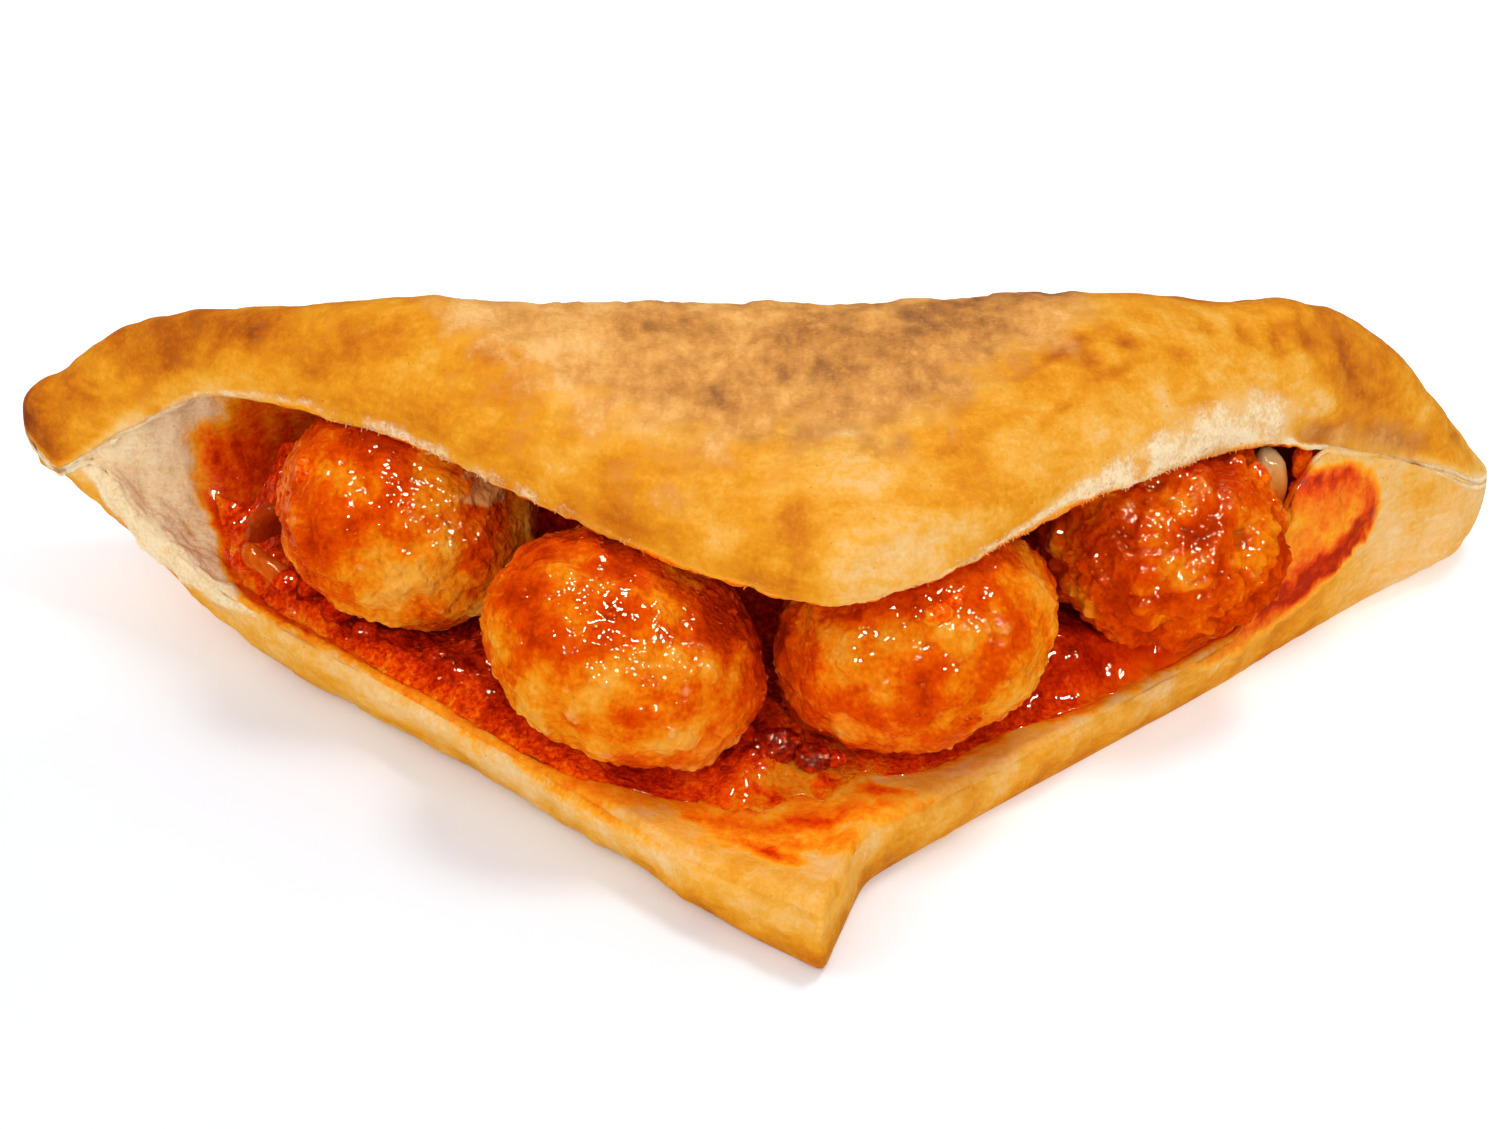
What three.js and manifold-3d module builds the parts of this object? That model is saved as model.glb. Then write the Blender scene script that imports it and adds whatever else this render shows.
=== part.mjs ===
// A crescentina: a three-cornered flatbread, cut open along its two short edges, with the upper flap
// draped over four meatballs that lie in tomato sauce. Millimetres, +Z up. In the drawing frame the
// tip of the lower flap is near x = 0 and y runs back to the long edge, which is not cut. LAID_X and
// LAID_Y move the drawing so that the origin is the middle of the footprint.
import * as THREE from 'three';
import { mergeVertices } from 'three/addons/utils/BufferGeometryUtils.js';
import Module from 'manifold-3d';

const wasm = await Module();
wasm.setup();

// Driving sizes of the bread
const LEFT_END = -114.2;
const RIGHT_END = 99.6;
const TIP = { x: -3, y: -98.2 };
const EDGE_SLOPE = 0.885;
const BEAK = { slope: 3.6, step: 11 };
const UPPER_TIP = { x: 2, y: -73, round: 11, slopeLeft: 0.71, slopeRight: 0.84 };
const BACK_Y = 7;
const RIM_LOW = 1.0;
const RIM_THICK = 7.5;
const FLOOR_THICK = 7.6;
const ROOF_THICK = 9.0;
const FLAP_THICK = 11.4;
const FLAP_LEVEL = 39.5;
const BACK_TOP = 33.0;
const POCKET_DEPTH = 0.9;
const LIP_GAP = 0.6;
const RELIEF = 0.55;
const SINK = 0.7;
// Where the drawing is laid
const LAID_X = 7.3;
const LAID_Y = 46.17;
// Mesh steps
const STATIONS = 52;
const STEPS = { bottom: 17, top: 20, roof: 12, floor: 12 };

// Meatballs: middle, half sizes, how far they lean to the right, and a seed for the lumps
const MEATBALLS = [
  { name: 'meatball_left', at: [-56.1, -30.5, 27.5], half: [18.0, 17.0, 16.1], lean: 0.1, seed: 1.3, lump: 0.045 },
  { name: 'meatball_front_left', at: [-25.6, -60.1, 24.6], half: [18.8, 17.0, 14.9], lean: 0.22, seed: 4.1, lump: 0.04 },
  { name: 'meatball_front_right', at: [13.1, -55.8, 24.7], half: [19.0, 17.3, 15.7], lean: -0.15, seed: 7.7, lump: 0.04 },
  { name: 'meatball_right', at: [47.6, -35.0, 26.2], half: [16.6, 16.0, 14.8], lean: 0, seed: 11.2, lump: 0.06 },
];
const CLEAR = 0.35;

const { sin, cos, sqrt, abs, exp, max, min, PI } = Math;
const clamp01 = (t) => min(1, max(0, t));
const mix = (a, b, t) => a + (b - a) * t;
const ramp = (a, b, x) => { const t = clamp01((x - a) / (b - a)); return t * t * (3 - 2 * t); };
const bump = (x, at, wide) => exp(-(((x - at) / wide) ** 2));
const softMax = (a, b, k) => 0.5 * (a + b + sqrt((a - b) ** 2 + k * k));
const softMin = (a, b, k) => 0.5 * (a + b - sqrt((a - b) ** 2 + k * k));
// Uneven waves between -1 and 1, about 6 lengths long
const wave = (x, y, z, len, seed) =>
  0.5 * sin(x / len + seed + 1.3 * sin(y / len * 0.8 + 2 * seed)) * cos(y / len * 1.1 - seed + sin(z / len + seed))
  + 0.5 * sin(z / len * 0.9 + 3 * seed + 1.1 * cos(x / len * 0.7 - seed)) * cos((x + y) / len * 0.8 + seed);

// Plan lines of the two cut edges and the back
function lowerEdge(x) {
  let left = TIP.y + EDGE_SLOPE * (TIP.x - x);
  left = softMin(left, -12 + 0.35 * (-x - 98), 3) - 1.2 * bump(x, -14, 9);
  const right = TIP.y + softMin(BEAK.slope * (x - 1.4), BEAK.step + EDGE_SLOPE * x, 3);
  return softMax(left, right, 2) - 3 * ramp(78, 96, x) - 1.2 * ramp(66, 84, -x);
}
function upperEdge(x) {
  const slope = mix(UPPER_TIP.slopeLeft, UPPER_TIP.slopeRight, ramp(-15, 15, x));
  const run = sqrt((x - UPPER_TIP.x) ** 2 + UPPER_TIP.round ** 2) - UPPER_TIP.round;
  return mix(UPPER_TIP.y + slope * run, lowerEdge(x) + 0.5, ramp(88, 108, -x) + ramp(74, 92, x));
}
const backEdge = (x) => BACK_Y + ramp(50, 98, x);

// Heights along the edges
function rimBottom(x) {
  const lift = min(60, max(0, -x - 66));
  return RIM_LOW + 1.6 * ramp(4, 26, -x) + ramp(30, 60, -x) + 0.4 * ramp(4, 26, x)
    + 0.0078 * lift * lift + 2.5 * ramp(98, 109, -x) + 1.6 * bump(x, 74, 12);
}
const backBottom = (x) => 3 + 13.5 * ramp(60, 112, -x) + 2.5 * ramp(60, 98, x);
const crease = (x) =>
  softMin(softMax(24 + 0.86 * (x + 104), 20.5, 2), 19.5 + 0.64 * (93 - x), 3) - 2 * ramp(90, 99, x);
const flapBottom = (x) =>
  softMin(FLAP_LEVEL + 4.2 * bump(x, -58, 26) + 3 * bump(x, 38, 20), crease(x), 4);
const flapThick = (x) =>
  FLAP_THICK + 3.5 * ramp(78, 98, -x) - 1.5 * ramp(100, 112, -x) + 4.8 * ramp(52, 72, x) - 12.5 * ramp(84, 99, x);
function rimThick(x) {
  const shut = max(crease(x) - rimBottom(x) - LIP_GAP, 1.2);
  return mix(RIM_THICK + 3 * bump(x, 0, 12), shut, ramp(94, 107, -x) + ramp(58.5, 72, x));
}
const backTop = (x) =>
  BACK_TOP - 1.5 * bump(x, -55, 25) + 1.5 * ramp(0, 30, x) + 2 * ramp(70, 94, -x)
  - 9.5 * ramp(96, 112, -x) - 19 * ramp(72, 99, x);
const pocketDepth = (x) => POCKET_DEPTH * ramp(108, 66, -x) * ramp(92, 58, x) + 0.02;
// The two ends close in a blunt curve
function endTaper(x) {
  const a = clamp01((LEFT_END + 7 - x) / 7);
  const b = clamp01((x - (RIGHT_END - 7)) / 7);
  return (1 - a ** 2.4) ** (1 / 2.4) * (1 - b ** 2.4) ** (1 / 2.4);
}
const quickRise = (v, w) => (1 - (1 - clamp01(v / w)) ** 2.2) ** (1 / 2.2);
const roundBack = (v) => (1 - clamp01(v) ** 4) ** (1 / 2.5);

// Everything about one station x along the long edge
function station(x) {
  const s = {
    x, yl: lowerEdge(x), yu: upperEdge(x), yb: backEdge(x), zl: rimBottom(x), tl: rimThick(x),
    tu: flapThick(x), zb0: backBottom(x), zb1: backTop(x), depth: pocketDepth(x),
  };
  s.zu = max(flapBottom(x), s.zl + s.tl + 0.4);
  s.mid = (s.zb0 + s.zb1) / 2;
  s.belly = 20 * ramp(100, 70, -x) * ramp(96, 70, x);
  s.deep = (mix(s.yl, s.yb, s.depth) + mix(s.yu, s.yb, s.depth)) / 2;
  return s;
}
const under = (s, v) => max(0, mix(s.zl, s.zb0, v) - s.belly * v * (1 - v));
const over = (s, v) =>
  softMin(s.zu + s.tu + 0.19 * (s.yb - s.yu) * v, s.zb1 + (s.yb - s.yu) * (1 - v), 6);
// The lowest skin is pressed flat on the table
const settle = (z) => max(0, z - SINK * (1 - ramp(SINK, 5, z)));
const roofZ = (s, v) => over(s, v) - mix(s.tu, ROOF_THICK, ramp(0, 0.5, v));
const floorZ = (s, v) => under(s, v) + mix(s.tl, FLOOR_THICK, ramp(0, 0.4, v));
// Height of the pocket's floor and roof at t, 0 at the rim and 1 at the deepest line
function pocketWall(s, t, isRoof) {
  const f = t * s.depth;
  const middle = (floorZ(s, f) + roofZ(s, f)) / 2;
  const open = (1 - t ** 3) ** (1 / 2.2);
  const z = middle + ((isRoof ? roofZ(s, f) : floorZ(s, f)) - middle) * open;
  const rim = isRoof ? s.zu : s.zl + s.tl;
  return mix(rim, z, s.depth > 0.1 ? ramp(0, isRoof ? 0.25 : 0.2, t) : t);
}
const easeBack = (n, k) => sin((k / (n - 1)) * PI / 2);
const easePocket = (n, k) => mix(k / (n - 1), easeBack(n, k), 0.45);

// One closed outline: under side, top, pocket roof, pocket floor
function outline(s) {
  const ring = [];
  for (let k = 0; k < STEPS.bottom - 1; k += 1) {
    const v = easeBack(STEPS.bottom, k) ** 1.6;
    const m = mix(s.zl + s.tl, s.mid, v);
    const rise = quickRise(v, min(5 / (s.yb - s.yl), 0.5)) * roundBack(v);
    ring.push([mix(s.yl, s.yb, v), settle(m + (under(s, v) - m) * rise)]);
  }
  for (let k = STEPS.top - 1; k > 0; k -= 1) {
    const v = easeBack(STEPS.top, k) ** 1.6;
    const m = mix(s.zu, s.mid, v);
    const rise = quickRise(v, min(15 / (s.yb - s.yu), 0.55)) * roundBack(v);
    ring.push([mix(s.yu, s.yb, v), m + (over(s, v) - m) * rise]);
  }
  for (let k = 0; k < STEPS.roof - 1; k += 1) {
    const t = easePocket(STEPS.roof, k);
    ring.push([mix(s.yu, s.deep, t), pocketWall(s, t, true)]);
  }
  for (let k = STEPS.floor - 1; k > 0; k -= 1) {
    const t = easePocket(STEPS.floor, k);
    ring.push([mix(s.yl, s.deep, t), pocketWall(s, t, false)]);
  }
  const shrink = max(endTaper(s.x), 0.001);
  const cy = (s.yl + s.yb) / 2;
  const cz = (s.zl + s.tl + s.zu) / 2;
  return ring.map(([y, z]) => [s.x, cy + (y - cy) * shrink, cz + (z - cz) * shrink]);
}

// Station places, closer together at the tip and at both ends
function stationPlaces(n) {
  const total = [0];
  const fine = 2000;
  const at = (k) => mix(LEFT_END + 0.02, RIGHT_END - 0.02, k / fine);
  for (let k = 1; k <= fine; k += 1) {
    const x = at(k);
    const close = 1 + 2.2 * bump(x, 1, 8) + 2.5 * bump(x, LEFT_END, 7) + 2.5 * bump(x, RIGHT_END, 7)
      + 0.6 * bump(x, -88, 12) + 0.6 * bump(x, 76, 12);
    total.push(total[k - 1] + close);
  }
  const places = [];
  for (let i = 0, k = 0; i < n; i += 1) {
    while (k < fine && total[k] < total[fine] * i / (n - 1)) k += 1;
    places.push(at(k));
  }
  return places;
}

// Shallow unevenness, pushed out along the skin
function roughen(rows, size) {
  const last = rows.length - 1;
  const m = rows[0].length;
  const push = new THREE.Vector3();
  const side = new THREE.Vector3();
  return rows.map((row, i) => row.map(([x, y, z], j) => {
    const next = row[(j + 1) % m];
    const prev = row[(j + m - 1) % m];
    const a = rows[max(0, i - 1)][j];
    const b = rows[min(last, i + 1)][j];
    side.set(b[0] - a[0], b[1] - a[1], b[2] - a[2]);
    push.set(next[0] - prev[0], next[1] - prev[1], next[2] - prev[2]).cross(side).normalize();
    const inPocket = j >= STEPS.bottom + STEPS.top - 2;
    const ends = ramp(0, 5, x - LEFT_END) * ramp(0, 5, RIGHT_END - x);
    let h = size * (wave(x, y, z, 6, 0.7) + 0.45 * wave(x, y, z, 2.7, 2.9)) * ends;
    h *= inPocket ? 0.35 : 1;
    h *= ramp(0.2, 3, z);
    return [x + push.x * h, y + push.y * h, max(0, z + push.z * h)];
  }));
}

// A closed skin through a row of closed outlines
function skin(rows) {
  const m = rows[0].length;
  const points = rows.flat();
  const faces = [];
  for (let i = 0; i < rows.length - 1; i += 1) {
    for (let j = 0; j < m; j += 1) {
      const k = (j + 1) % m;
      faces.push(i * m + j, i * m + k, (i + 1) * m + k, i * m + j, (i + 1) * m + k, (i + 1) * m + j);
    }
  }
  for (const [i, flip] of [[0, true], [rows.length - 1, false]]) {
    const middle = rows[i].reduce((c, p) => c.map((q, d) => q + p[d] / m), [0, 0, 0]);
    points.push(middle);
    for (let j = 0; j < m; j += 1) {
      const a = i * m + j;
      const b = i * m + (j + 1) % m;
      faces.push(points.length - 1, flip ? b : a, flip ? a : b);
    }
  }
  return meshGeometry(points, faces);
}
function meshGeometry(points, faces) {
  const geometry = new THREE.BufferGeometry();
  geometry.setAttribute('position', new THREE.Float32BufferAttribute(points.flat(), 3));
  geometry.setIndex(faces);
  return geometry;
}

function breadGeometry() {
  const rows = stationPlaces(STATIONS).map((x) => outline(station(x)));
  return skin(roughen(rows, RELIEF));
}

// A lumpy ball; grow adds the same margin all over
function ballGeometry(ball, detail, grow = 0) {
  const round = new THREE.IcosahedronGeometry(1, detail);
  round.deleteAttribute('normal');
  round.deleteAttribute('uv');
  const geometry = mergeVertices(round, 1e-4);
  const spot = geometry.attributes.position;
  for (let i = 0; i < spot.count; i += 1) {
    const [x, y, z] = [spot.getX(i), spot.getY(i), spot.getZ(i)];
    const lumps = ball.lump * (wave(x, y, z, 0.42, ball.seed) + 0.5 * wave(x, y, z, 0.22, ball.seed + 2));
    const flat = 0.03 * ramp(0.5, 1, -z);
    const r = 1 + lumps - flat;
    const across = x * (ball.half[0] * r + grow);
    spot.setXYZ(i, across, y * (ball.half[1] * r + grow), z * (ball.half[2] * r + grow) - ball.lean * across);
  }
  return geometry;
}

// Sauce: a layer over the pocket's floor, cut to let the meatballs in
const SAUCE = { from: -86, to: 72, stations: 29, steps: 10, lift: 0.95, edge: 0.5, layer: 2.6, deep: 8.5 };
function sauceFront(x) {
  const off = 2.2 + 14 * bump(x, -13, 13) + 12.5 * bump(x, 2, 9) + 6.5 * bump(x, 22, 14)
    + 9.5 * bump(x, -1.5, 5) + 11 * ramp(80, 87, -x) + 3.5 * ramp(62, 76, x);
  return lowerEdge(x) + off;
}
function sauceHeight(x, y, t) {
  let h = SAUCE.edge + SAUCE.layer * (1 - 0.5 * bump(x, -4, 16)) * ramp(0, 0.16, t);
  h += SAUCE.deep * ramp(0.42, 0.8, t);
  for (const { at, half } of MEATBALLS) {
    const d = sqrt(((x - at[0]) / half[0]) ** 2 + ((y - at[1]) / half[1]) ** 2);
    h += 2.4 * bump(d, 0.98, 0.28) * ramp(0, 0.12, t);
  }
  h += 3.2 * bump(x, 46, 17) * ramp(0.02, 0.2, t) * (1 - ramp(0.3, 0.5, t));
  h += 5.5 * bump(x, -80, 7) * ramp(0.1, 0.5, t);
  h += 0.5 * wave(x, y, 0, 2.4, 5.2) * ramp(0.05, 0.2, t);
  return h;
}
function pocketPoint(x, y) {
  const s = station(x);
  const tf = clamp01((y - s.yl) / (s.deep - s.yl));
  const tr = clamp01((y - s.yu) / (s.deep - s.yu));
  return { floor: pocketWall(s, tf, false), roof: y > s.yu ? pocketWall(s, tr, true) : Infinity, deep: s.deep };
}
function sauceBody() {
  const { stations, steps } = SAUCE;
  const rows = [];
  for (let i = 0; i < stations; i += 1) {
    const u = i / (stations - 1);
    const x = mix(SAUCE.from, SAUCE.to, mix(u, (1 - cos(PI * u)) / 2, 0.35));
    const wide = max(0.04, (1 - abs(2 * u - 1) ** 5) ** (1 / 2.5));
    const deepest = station(x).deep;
    const front = sauceFront(x);
    const back = mix(front, deepest, 0.86);
    const centre = mix(front, back, 0.55);
    const top = [];
    const base = [];
    for (let k = 0; k < steps; k += 1) {
      const t = k / (steps - 1);
      const y = centre + (mix(front, back, t) - centre) * wide;
      const p = pocketPoint(x, y);
      const h = max(0.3, sauceHeight(x, y, t) * mix(0.35, 1, ramp(0, 0.5, wide)) * (1 - ramp(0.9, 1, t) * 0.8));
      const lift = SAUCE.lift + 0.5 * ramp(60, 74, x) + 0.3 * ramp(60, 72, -x);
      base.push([x, y, p.floor + lift]);
      top.push([x, y, min(p.floor + lift + h, p.roof - 0.7)]);
    }
    for (let k = 0; k < steps; k += 1) top[k][2] = max(top[k][2], base[k][2] + 0.3);
    rows.push([...base, ...top.reverse()]);
  }
  return solid(skin(rows));
}
function solid(geometry) {
  return new wasm.Manifold(new wasm.Mesh({
    numProp: 3,
    vertProperties: new Float32Array(geometry.attributes.position.array),
    triVerts: new Uint32Array(geometry.index.array),
  }));
}
function fromSolid(body) {
  const { vertProperties, triVerts, numProp } = body.getMesh();
  const geometry = new THREE.BufferGeometry();
  const spots = [];
  for (let i = 0; i < vertProperties.length; i += numProp) spots.push(...vertProperties.slice(i, i + 3));
  geometry.setAttribute('position', new THREE.Float32BufferAttribute(spots, 3));
  geometry.setIndex([...triVerts]);
  return geometry;
}
// Small dark chunks that stick up out of the sauce
const CHUNKS = [
  { at: [-69.8, -28.6, 13.6], half: [3.0, 2.6, 2.4], lean: 0, seed: 2.2, lump: 0.1 },
  { at: [-5.6, -64.6, 12.0], half: [3.2, 2.4, 2.2], lean: 0, seed: 5.9, lump: 0.12 },
  { at: [-0.6, -66.2, 11.2], half: [2.2, 1.8, 1.7], lean: 0, seed: 8.3, lump: 0.12 },
];
function sauceGeometry() {
  let body = sauceBody();
  for (const chunk of CHUNKS) {
    const lump = ballGeometry(chunk, 2);
    lump.translate(...chunk.at);
    body = body.add(solid(lump));
  }
  const bread = solid(breadGeometry());
  const g = 1.4 * CLEAR;
  const nudges = [[0, 0, g], [0, 0, -g], [g, 0, 0], [-g, 0, 0], [0, g, 0], [0, -g, 0]];
  for (const nudge of nudges) body = body.subtract(bread.translate(nudge));
  for (const ball of MEATBALLS) {
    const hollow = ballGeometry(ball, 6, CLEAR);
    hollow.translate(...ball.at);
    body = body.subtract(solid(hollow));
  }
  for (const piece of ONIONS) {
    const hollow = slabGeometry(piece, CLEAR);
    body = body.subtract(solid(hollow));
  }
  const parts = body.decompose();
  parts.sort((a, b) => b.volume() - a.volume());
  return fromSolid(parts[0]);
}

// Onion pieces: soft slabs, bent a little, placed and turned on the sauce
const ONIONS = [
  { name: 'onion_slab', at: [-76.2, -21.6, 20.4], size: [8.4, 2.6, 10.0], turn: [0.5, 0.25, 0.5], bend: 0.9 },
  { name: 'onion_sliver', at: [-77.0, -28.6, 17.4], size: [8.2, 2.4, 3.4], turn: [0.3, 0.3, -0.55], bend: 0.5 },
  { name: 'onion_strip', at: [64.0, -23.4, 28.4], size: [4.0, 2.6, 9.6], turn: [-0.2, -0.15, 0.2], bend: -0.5 },
];
function slabGeometry({ at, size, turn, bend }, grow = 0) {
  const shape = new THREE.BoxGeometry(1, 1, 1, 5, 3, 5);
  shape.deleteAttribute('normal');
  shape.deleteAttribute('uv');
  const geometry = mergeVertices(shape, 1e-4);
  const spot = geometry.attributes.position;
  for (let i = 0; i < spot.count; i += 1) {
    const cube = [spot.getX(i) * 2, spot.getY(i) * 2, spot.getZ(i) * 2];
    const power = cube.reduce((sum, c) => sum + abs(c) ** 5, 0) ** (1 / 5);
    const p = cube.map((c, d) => c / power * (size[d] / 2 + grow));
    p[1] += bend * (1 - (2 * p[2] / size[2]) ** 2) * 0.5;
    p[0] *= 1 + 0.08 * sin(p[2] + at[0]);
    spot.setXYZ(i, p[0], p[1], p[2]);
  }
  geometry.applyMatrix4(new THREE.Matrix4().makeRotationFromEuler(new THREE.Euler(...turn)));
  geometry.translate(...at);
  return geometry;
}

// The finished object
const CRUST = new THREE.MeshStandardMaterial({ color: 0xd9993f, roughness: 0.72, metalness: 0 });
const MEAT = new THREE.MeshStandardMaterial({ color: 0xb5541c, roughness: 0.35, metalness: 0 });
const TOMATO = new THREE.MeshStandardMaterial({ color: 0xa92408, roughness: 0.25, metalness: 0 });
const ONION = new THREE.MeshStandardMaterial({ color: 0xcf7a42, roughness: 0.3, metalness: 0 });

function named(name, geometry, material) {
  const mesh = new THREE.Mesh(geometry, material);
  mesh.name = name;
  return mesh;
}
const crescentina = new THREE.Group();
crescentina.position.set(LAID_X, LAID_Y, 0);
crescentina.add(named('bread', breadGeometry(), CRUST));
for (const ball of MEATBALLS) {
  const mesh = named(ball.name, ballGeometry(ball, 6), MEAT);
  mesh.position.set(...ball.at);
  crescentina.add(mesh);
}
crescentina.add(named('tomato_sauce', sauceGeometry(), TOMATO));
for (const piece of ONIONS) crescentina.add(named(piece.name, slabGeometry(piece), ONION));

const group = new THREE.Group();
group.add(crescentina);
export default group;
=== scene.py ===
"""Looks of a filled crescentina: baked crust, torn crumb, wet meatballs and tomato sauce.

The frame holds the solids. This script dresses them: each surface is modelled again with finer
relief over the same form, and its masks (how baked, how soaked, how torn) are painted on the
mesh as attributes, which the finishes read. Lengths in the form classes are millimetres in the
drawing that the solids were laid out in; ``laid`` turns them into metres in the shared frame.
"""

import logging
import math
from dataclasses import dataclass, field, replace
from enum import Enum
from itertools import product

import bmesh
import bpy
import numpy as np
from mathutils import Matrix, Vector


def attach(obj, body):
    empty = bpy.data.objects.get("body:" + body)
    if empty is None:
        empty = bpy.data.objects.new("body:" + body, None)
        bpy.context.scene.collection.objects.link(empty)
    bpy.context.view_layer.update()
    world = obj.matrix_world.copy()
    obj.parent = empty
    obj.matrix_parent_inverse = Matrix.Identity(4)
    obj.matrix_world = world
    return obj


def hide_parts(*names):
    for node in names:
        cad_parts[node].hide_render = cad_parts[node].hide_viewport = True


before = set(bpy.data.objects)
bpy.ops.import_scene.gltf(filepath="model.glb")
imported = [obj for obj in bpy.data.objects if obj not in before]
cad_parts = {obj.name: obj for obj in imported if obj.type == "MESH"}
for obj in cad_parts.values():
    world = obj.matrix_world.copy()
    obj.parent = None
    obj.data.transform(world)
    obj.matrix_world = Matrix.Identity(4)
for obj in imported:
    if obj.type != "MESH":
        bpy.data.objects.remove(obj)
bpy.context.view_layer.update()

LOG = logging.getLogger("crescentina")
Array = np.ndarray
Colour = tuple[float, float, float, float]
Triple = tuple[float, float, float]
Pairs = tuple[tuple[float, float], ...]
Shades = tuple[tuple[float, str], ...]
Piece = bpy.types.Object
Material = bpy.types.Material

MM = 0.001
# Shift from the drawing to the shared frame, in millimetres
LAID = (7.3, 46.17, 0.0)


# Plain helpers for shapes

def clamp01(t: Array) -> Array:
    """Limit values to 0 to 1."""
    return np.clip(t, 0.0, 1.0)


def mix(a: Array, b: Array, t: Array) -> Array:
    """Go from a to b as t goes from 0 to 1."""
    return a + (b - a) * t


def ramp(a: float, b: float, x: Array) -> Array:
    """Rise softly from 0 at a to 1 at b."""
    t = clamp01((x - a) / (b - a))
    return t * t * (3 - 2 * t)


def bump(x: Array, at: float, wide: float) -> Array:
    """Make a soft hump of height 1 at the place ``at``."""
    return np.exp(-(((x - at) / wide) ** 2))


def humps(x: Array, *table: Triple) -> Array:
    """Add up soft humps, each given by its height, its place and its width."""
    return sum(height * bump(x, at, wide) for height, at, wide in table)


def read_off(table: Pairs, x: Array) -> Array:
    """Read values off a table of places and values, straight between its entries."""
    return np.interp(x, *zip(*table))


def soft_max(a: Array, b: Array, k: float) -> Array:
    """Take the larger of two values with the corner rounded over k."""
    return 0.5 * (a + b + np.sqrt((a - b) ** 2 + k * k))


def soft_min(a: Array, b: Array, k: float) -> Array:
    """Take the smaller of two values with the corner rounded over k."""
    return 0.5 * (a + b - np.sqrt((a - b) ** 2 + k * k))


def wave(x: Array, y: Array, z: Array, length: float, seed: float) -> Array:
    """Give uneven waves between -1 and 1, the same that shape the solids.

    Args:
        x, y, z: Places in the drawing.
        length: Size of the waves.
        seed: Shift of the pattern.

    Returns:
        One value for each place.
    """
    first = np.sin(x / length + seed + 1.3 * np.sin(y / length * 0.8 + 2 * seed))
    second = np.cos(y / length * 1.1 - seed + np.sin(z / length + seed))
    third = np.sin(z / length * 0.9 + 3 * seed + 1.1 * np.cos(x / length * 0.7 - seed))
    return 0.5 * first * second + 0.5 * third * np.cos((x + y) / length * 0.8 + seed)


def billow(value: Array, soft: float) -> Array:
    """Fold waves into rounded lumps with rounded creases between them."""
    return np.sqrt(value * value + soft * soft) - soft


def laid(points: Array) -> Array:
    """Turn drawing places in millimetres into places in the shared frame, in metres."""
    return (points + np.array(LAID)) * MM


def tone(code: str) -> Colour:
    """Turn a six-letter sRGB colour code into the linear colour that a shader takes."""
    parts = [int(code[i:i + 2], 16) / 255 for i in (0, 2, 4)]
    linear = [c / 12.92 if c <= 0.04045 else ((c + 0.055) / 1.055) ** 2.4 for c in parts]
    return (*linear, 1.0)


class Grain:
    """Seeded noise in space, for relief and for the edges of painted masks."""

    def __init__(self, seed: int) -> None:
        """Draw the tables.

        Args:
            seed: Start of the random draws.
        """
        rng = np.random.default_rng(seed)
        self.order = rng.permutation(256)
        slopes = rng.normal(size=(256, 3))
        self.slopes = slopes / np.linalg.norm(slopes, axis=1, keepdims=True)
        self.offsets = rng.random((256, 3))

    def _pick(self, cell: Array) -> Array:
        """Give each whole-number cell its table row."""
        row = self.order[cell[..., 0] & 255]
        row = self.order[(row + cell[..., 1]) & 255]
        return self.order[(row + cell[..., 2]) & 255]

    def smooth(self, points: Array, size: float) -> Array:
        """Give soft hills between about -1 and 1.

        Args:
            points: Places, last axis x, y, z.
            size: Length of a hill.

        Returns:
            One value for each place.
        """
        spots = points / size
        cell = np.floor(spots).astype(int)
        part = spots - cell
        fade = part ** 3 * (part * (part * 6 - 15) + 10)
        total = np.zeros(points.shape[:-1])
        for corner in product((0, 1), repeat=3):
            weight = np.prod(np.where(np.array(corner) == 1, fade, 1 - fade), axis=-1)
            slope = self.slopes[self._pick(cell + np.array(corner))]
            total += weight * np.sum(slope * (part - np.array(corner)), axis=-1)
        return 1.5 * total

    def layered(self, points: Array, size: float, layers: int = 3) -> Array:
        """Add finer hills of half the size and half the height, layer by layer.

        Args:
            points: Places, last axis x, y, z.
            size: Length of the largest hills.
            layers: Number of sizes.

        Returns:
            One value for each place, between about -1 and 1.
        """
        parts = ((0.5 ** n, points + 17.3 * n) for n in range(layers))
        return sum(part * self.smooth(places, size * part) for part, places in parts)

    def lumps(self, points: Array, size: float, soft: float) -> Array:
        """Give rounded lumps with soft creases between them."""
        return billow(self.smooth(points, size), soft)

    def cells(self, points: Array, size: float) -> tuple[Array, Array, Array]:
        """Find the nearest two of many scattered seeds.

        Args:
            points: Places, last axis x, y, z.
            size: Usual distance between seeds.

        Returns:
            Distance to the nearest seed and to the next one, in units of size, and a value
            between 0 and 1 that belongs to the nearest.
        """
        spots = points / size
        cell = np.floor(spots).astype(int)
        first = np.full(points.shape[:-1], 9.0)
        second = first.copy()
        owner = np.zeros(points.shape[:-1], int)
        for step in product((-1, 0, 1), repeat=3):
            near = cell + np.array(step)
            row = self._pick(near)
            away = np.linalg.norm(near + self.offsets[row] - spots, axis=-1)
            closer = away < first
            second = np.where(closer, first, np.minimum(second, away))
            owner = np.where(closer, row, owner)
            first = np.where(closer, away, first)
        return first, second, owner / 255.0


# Meshes

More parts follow.
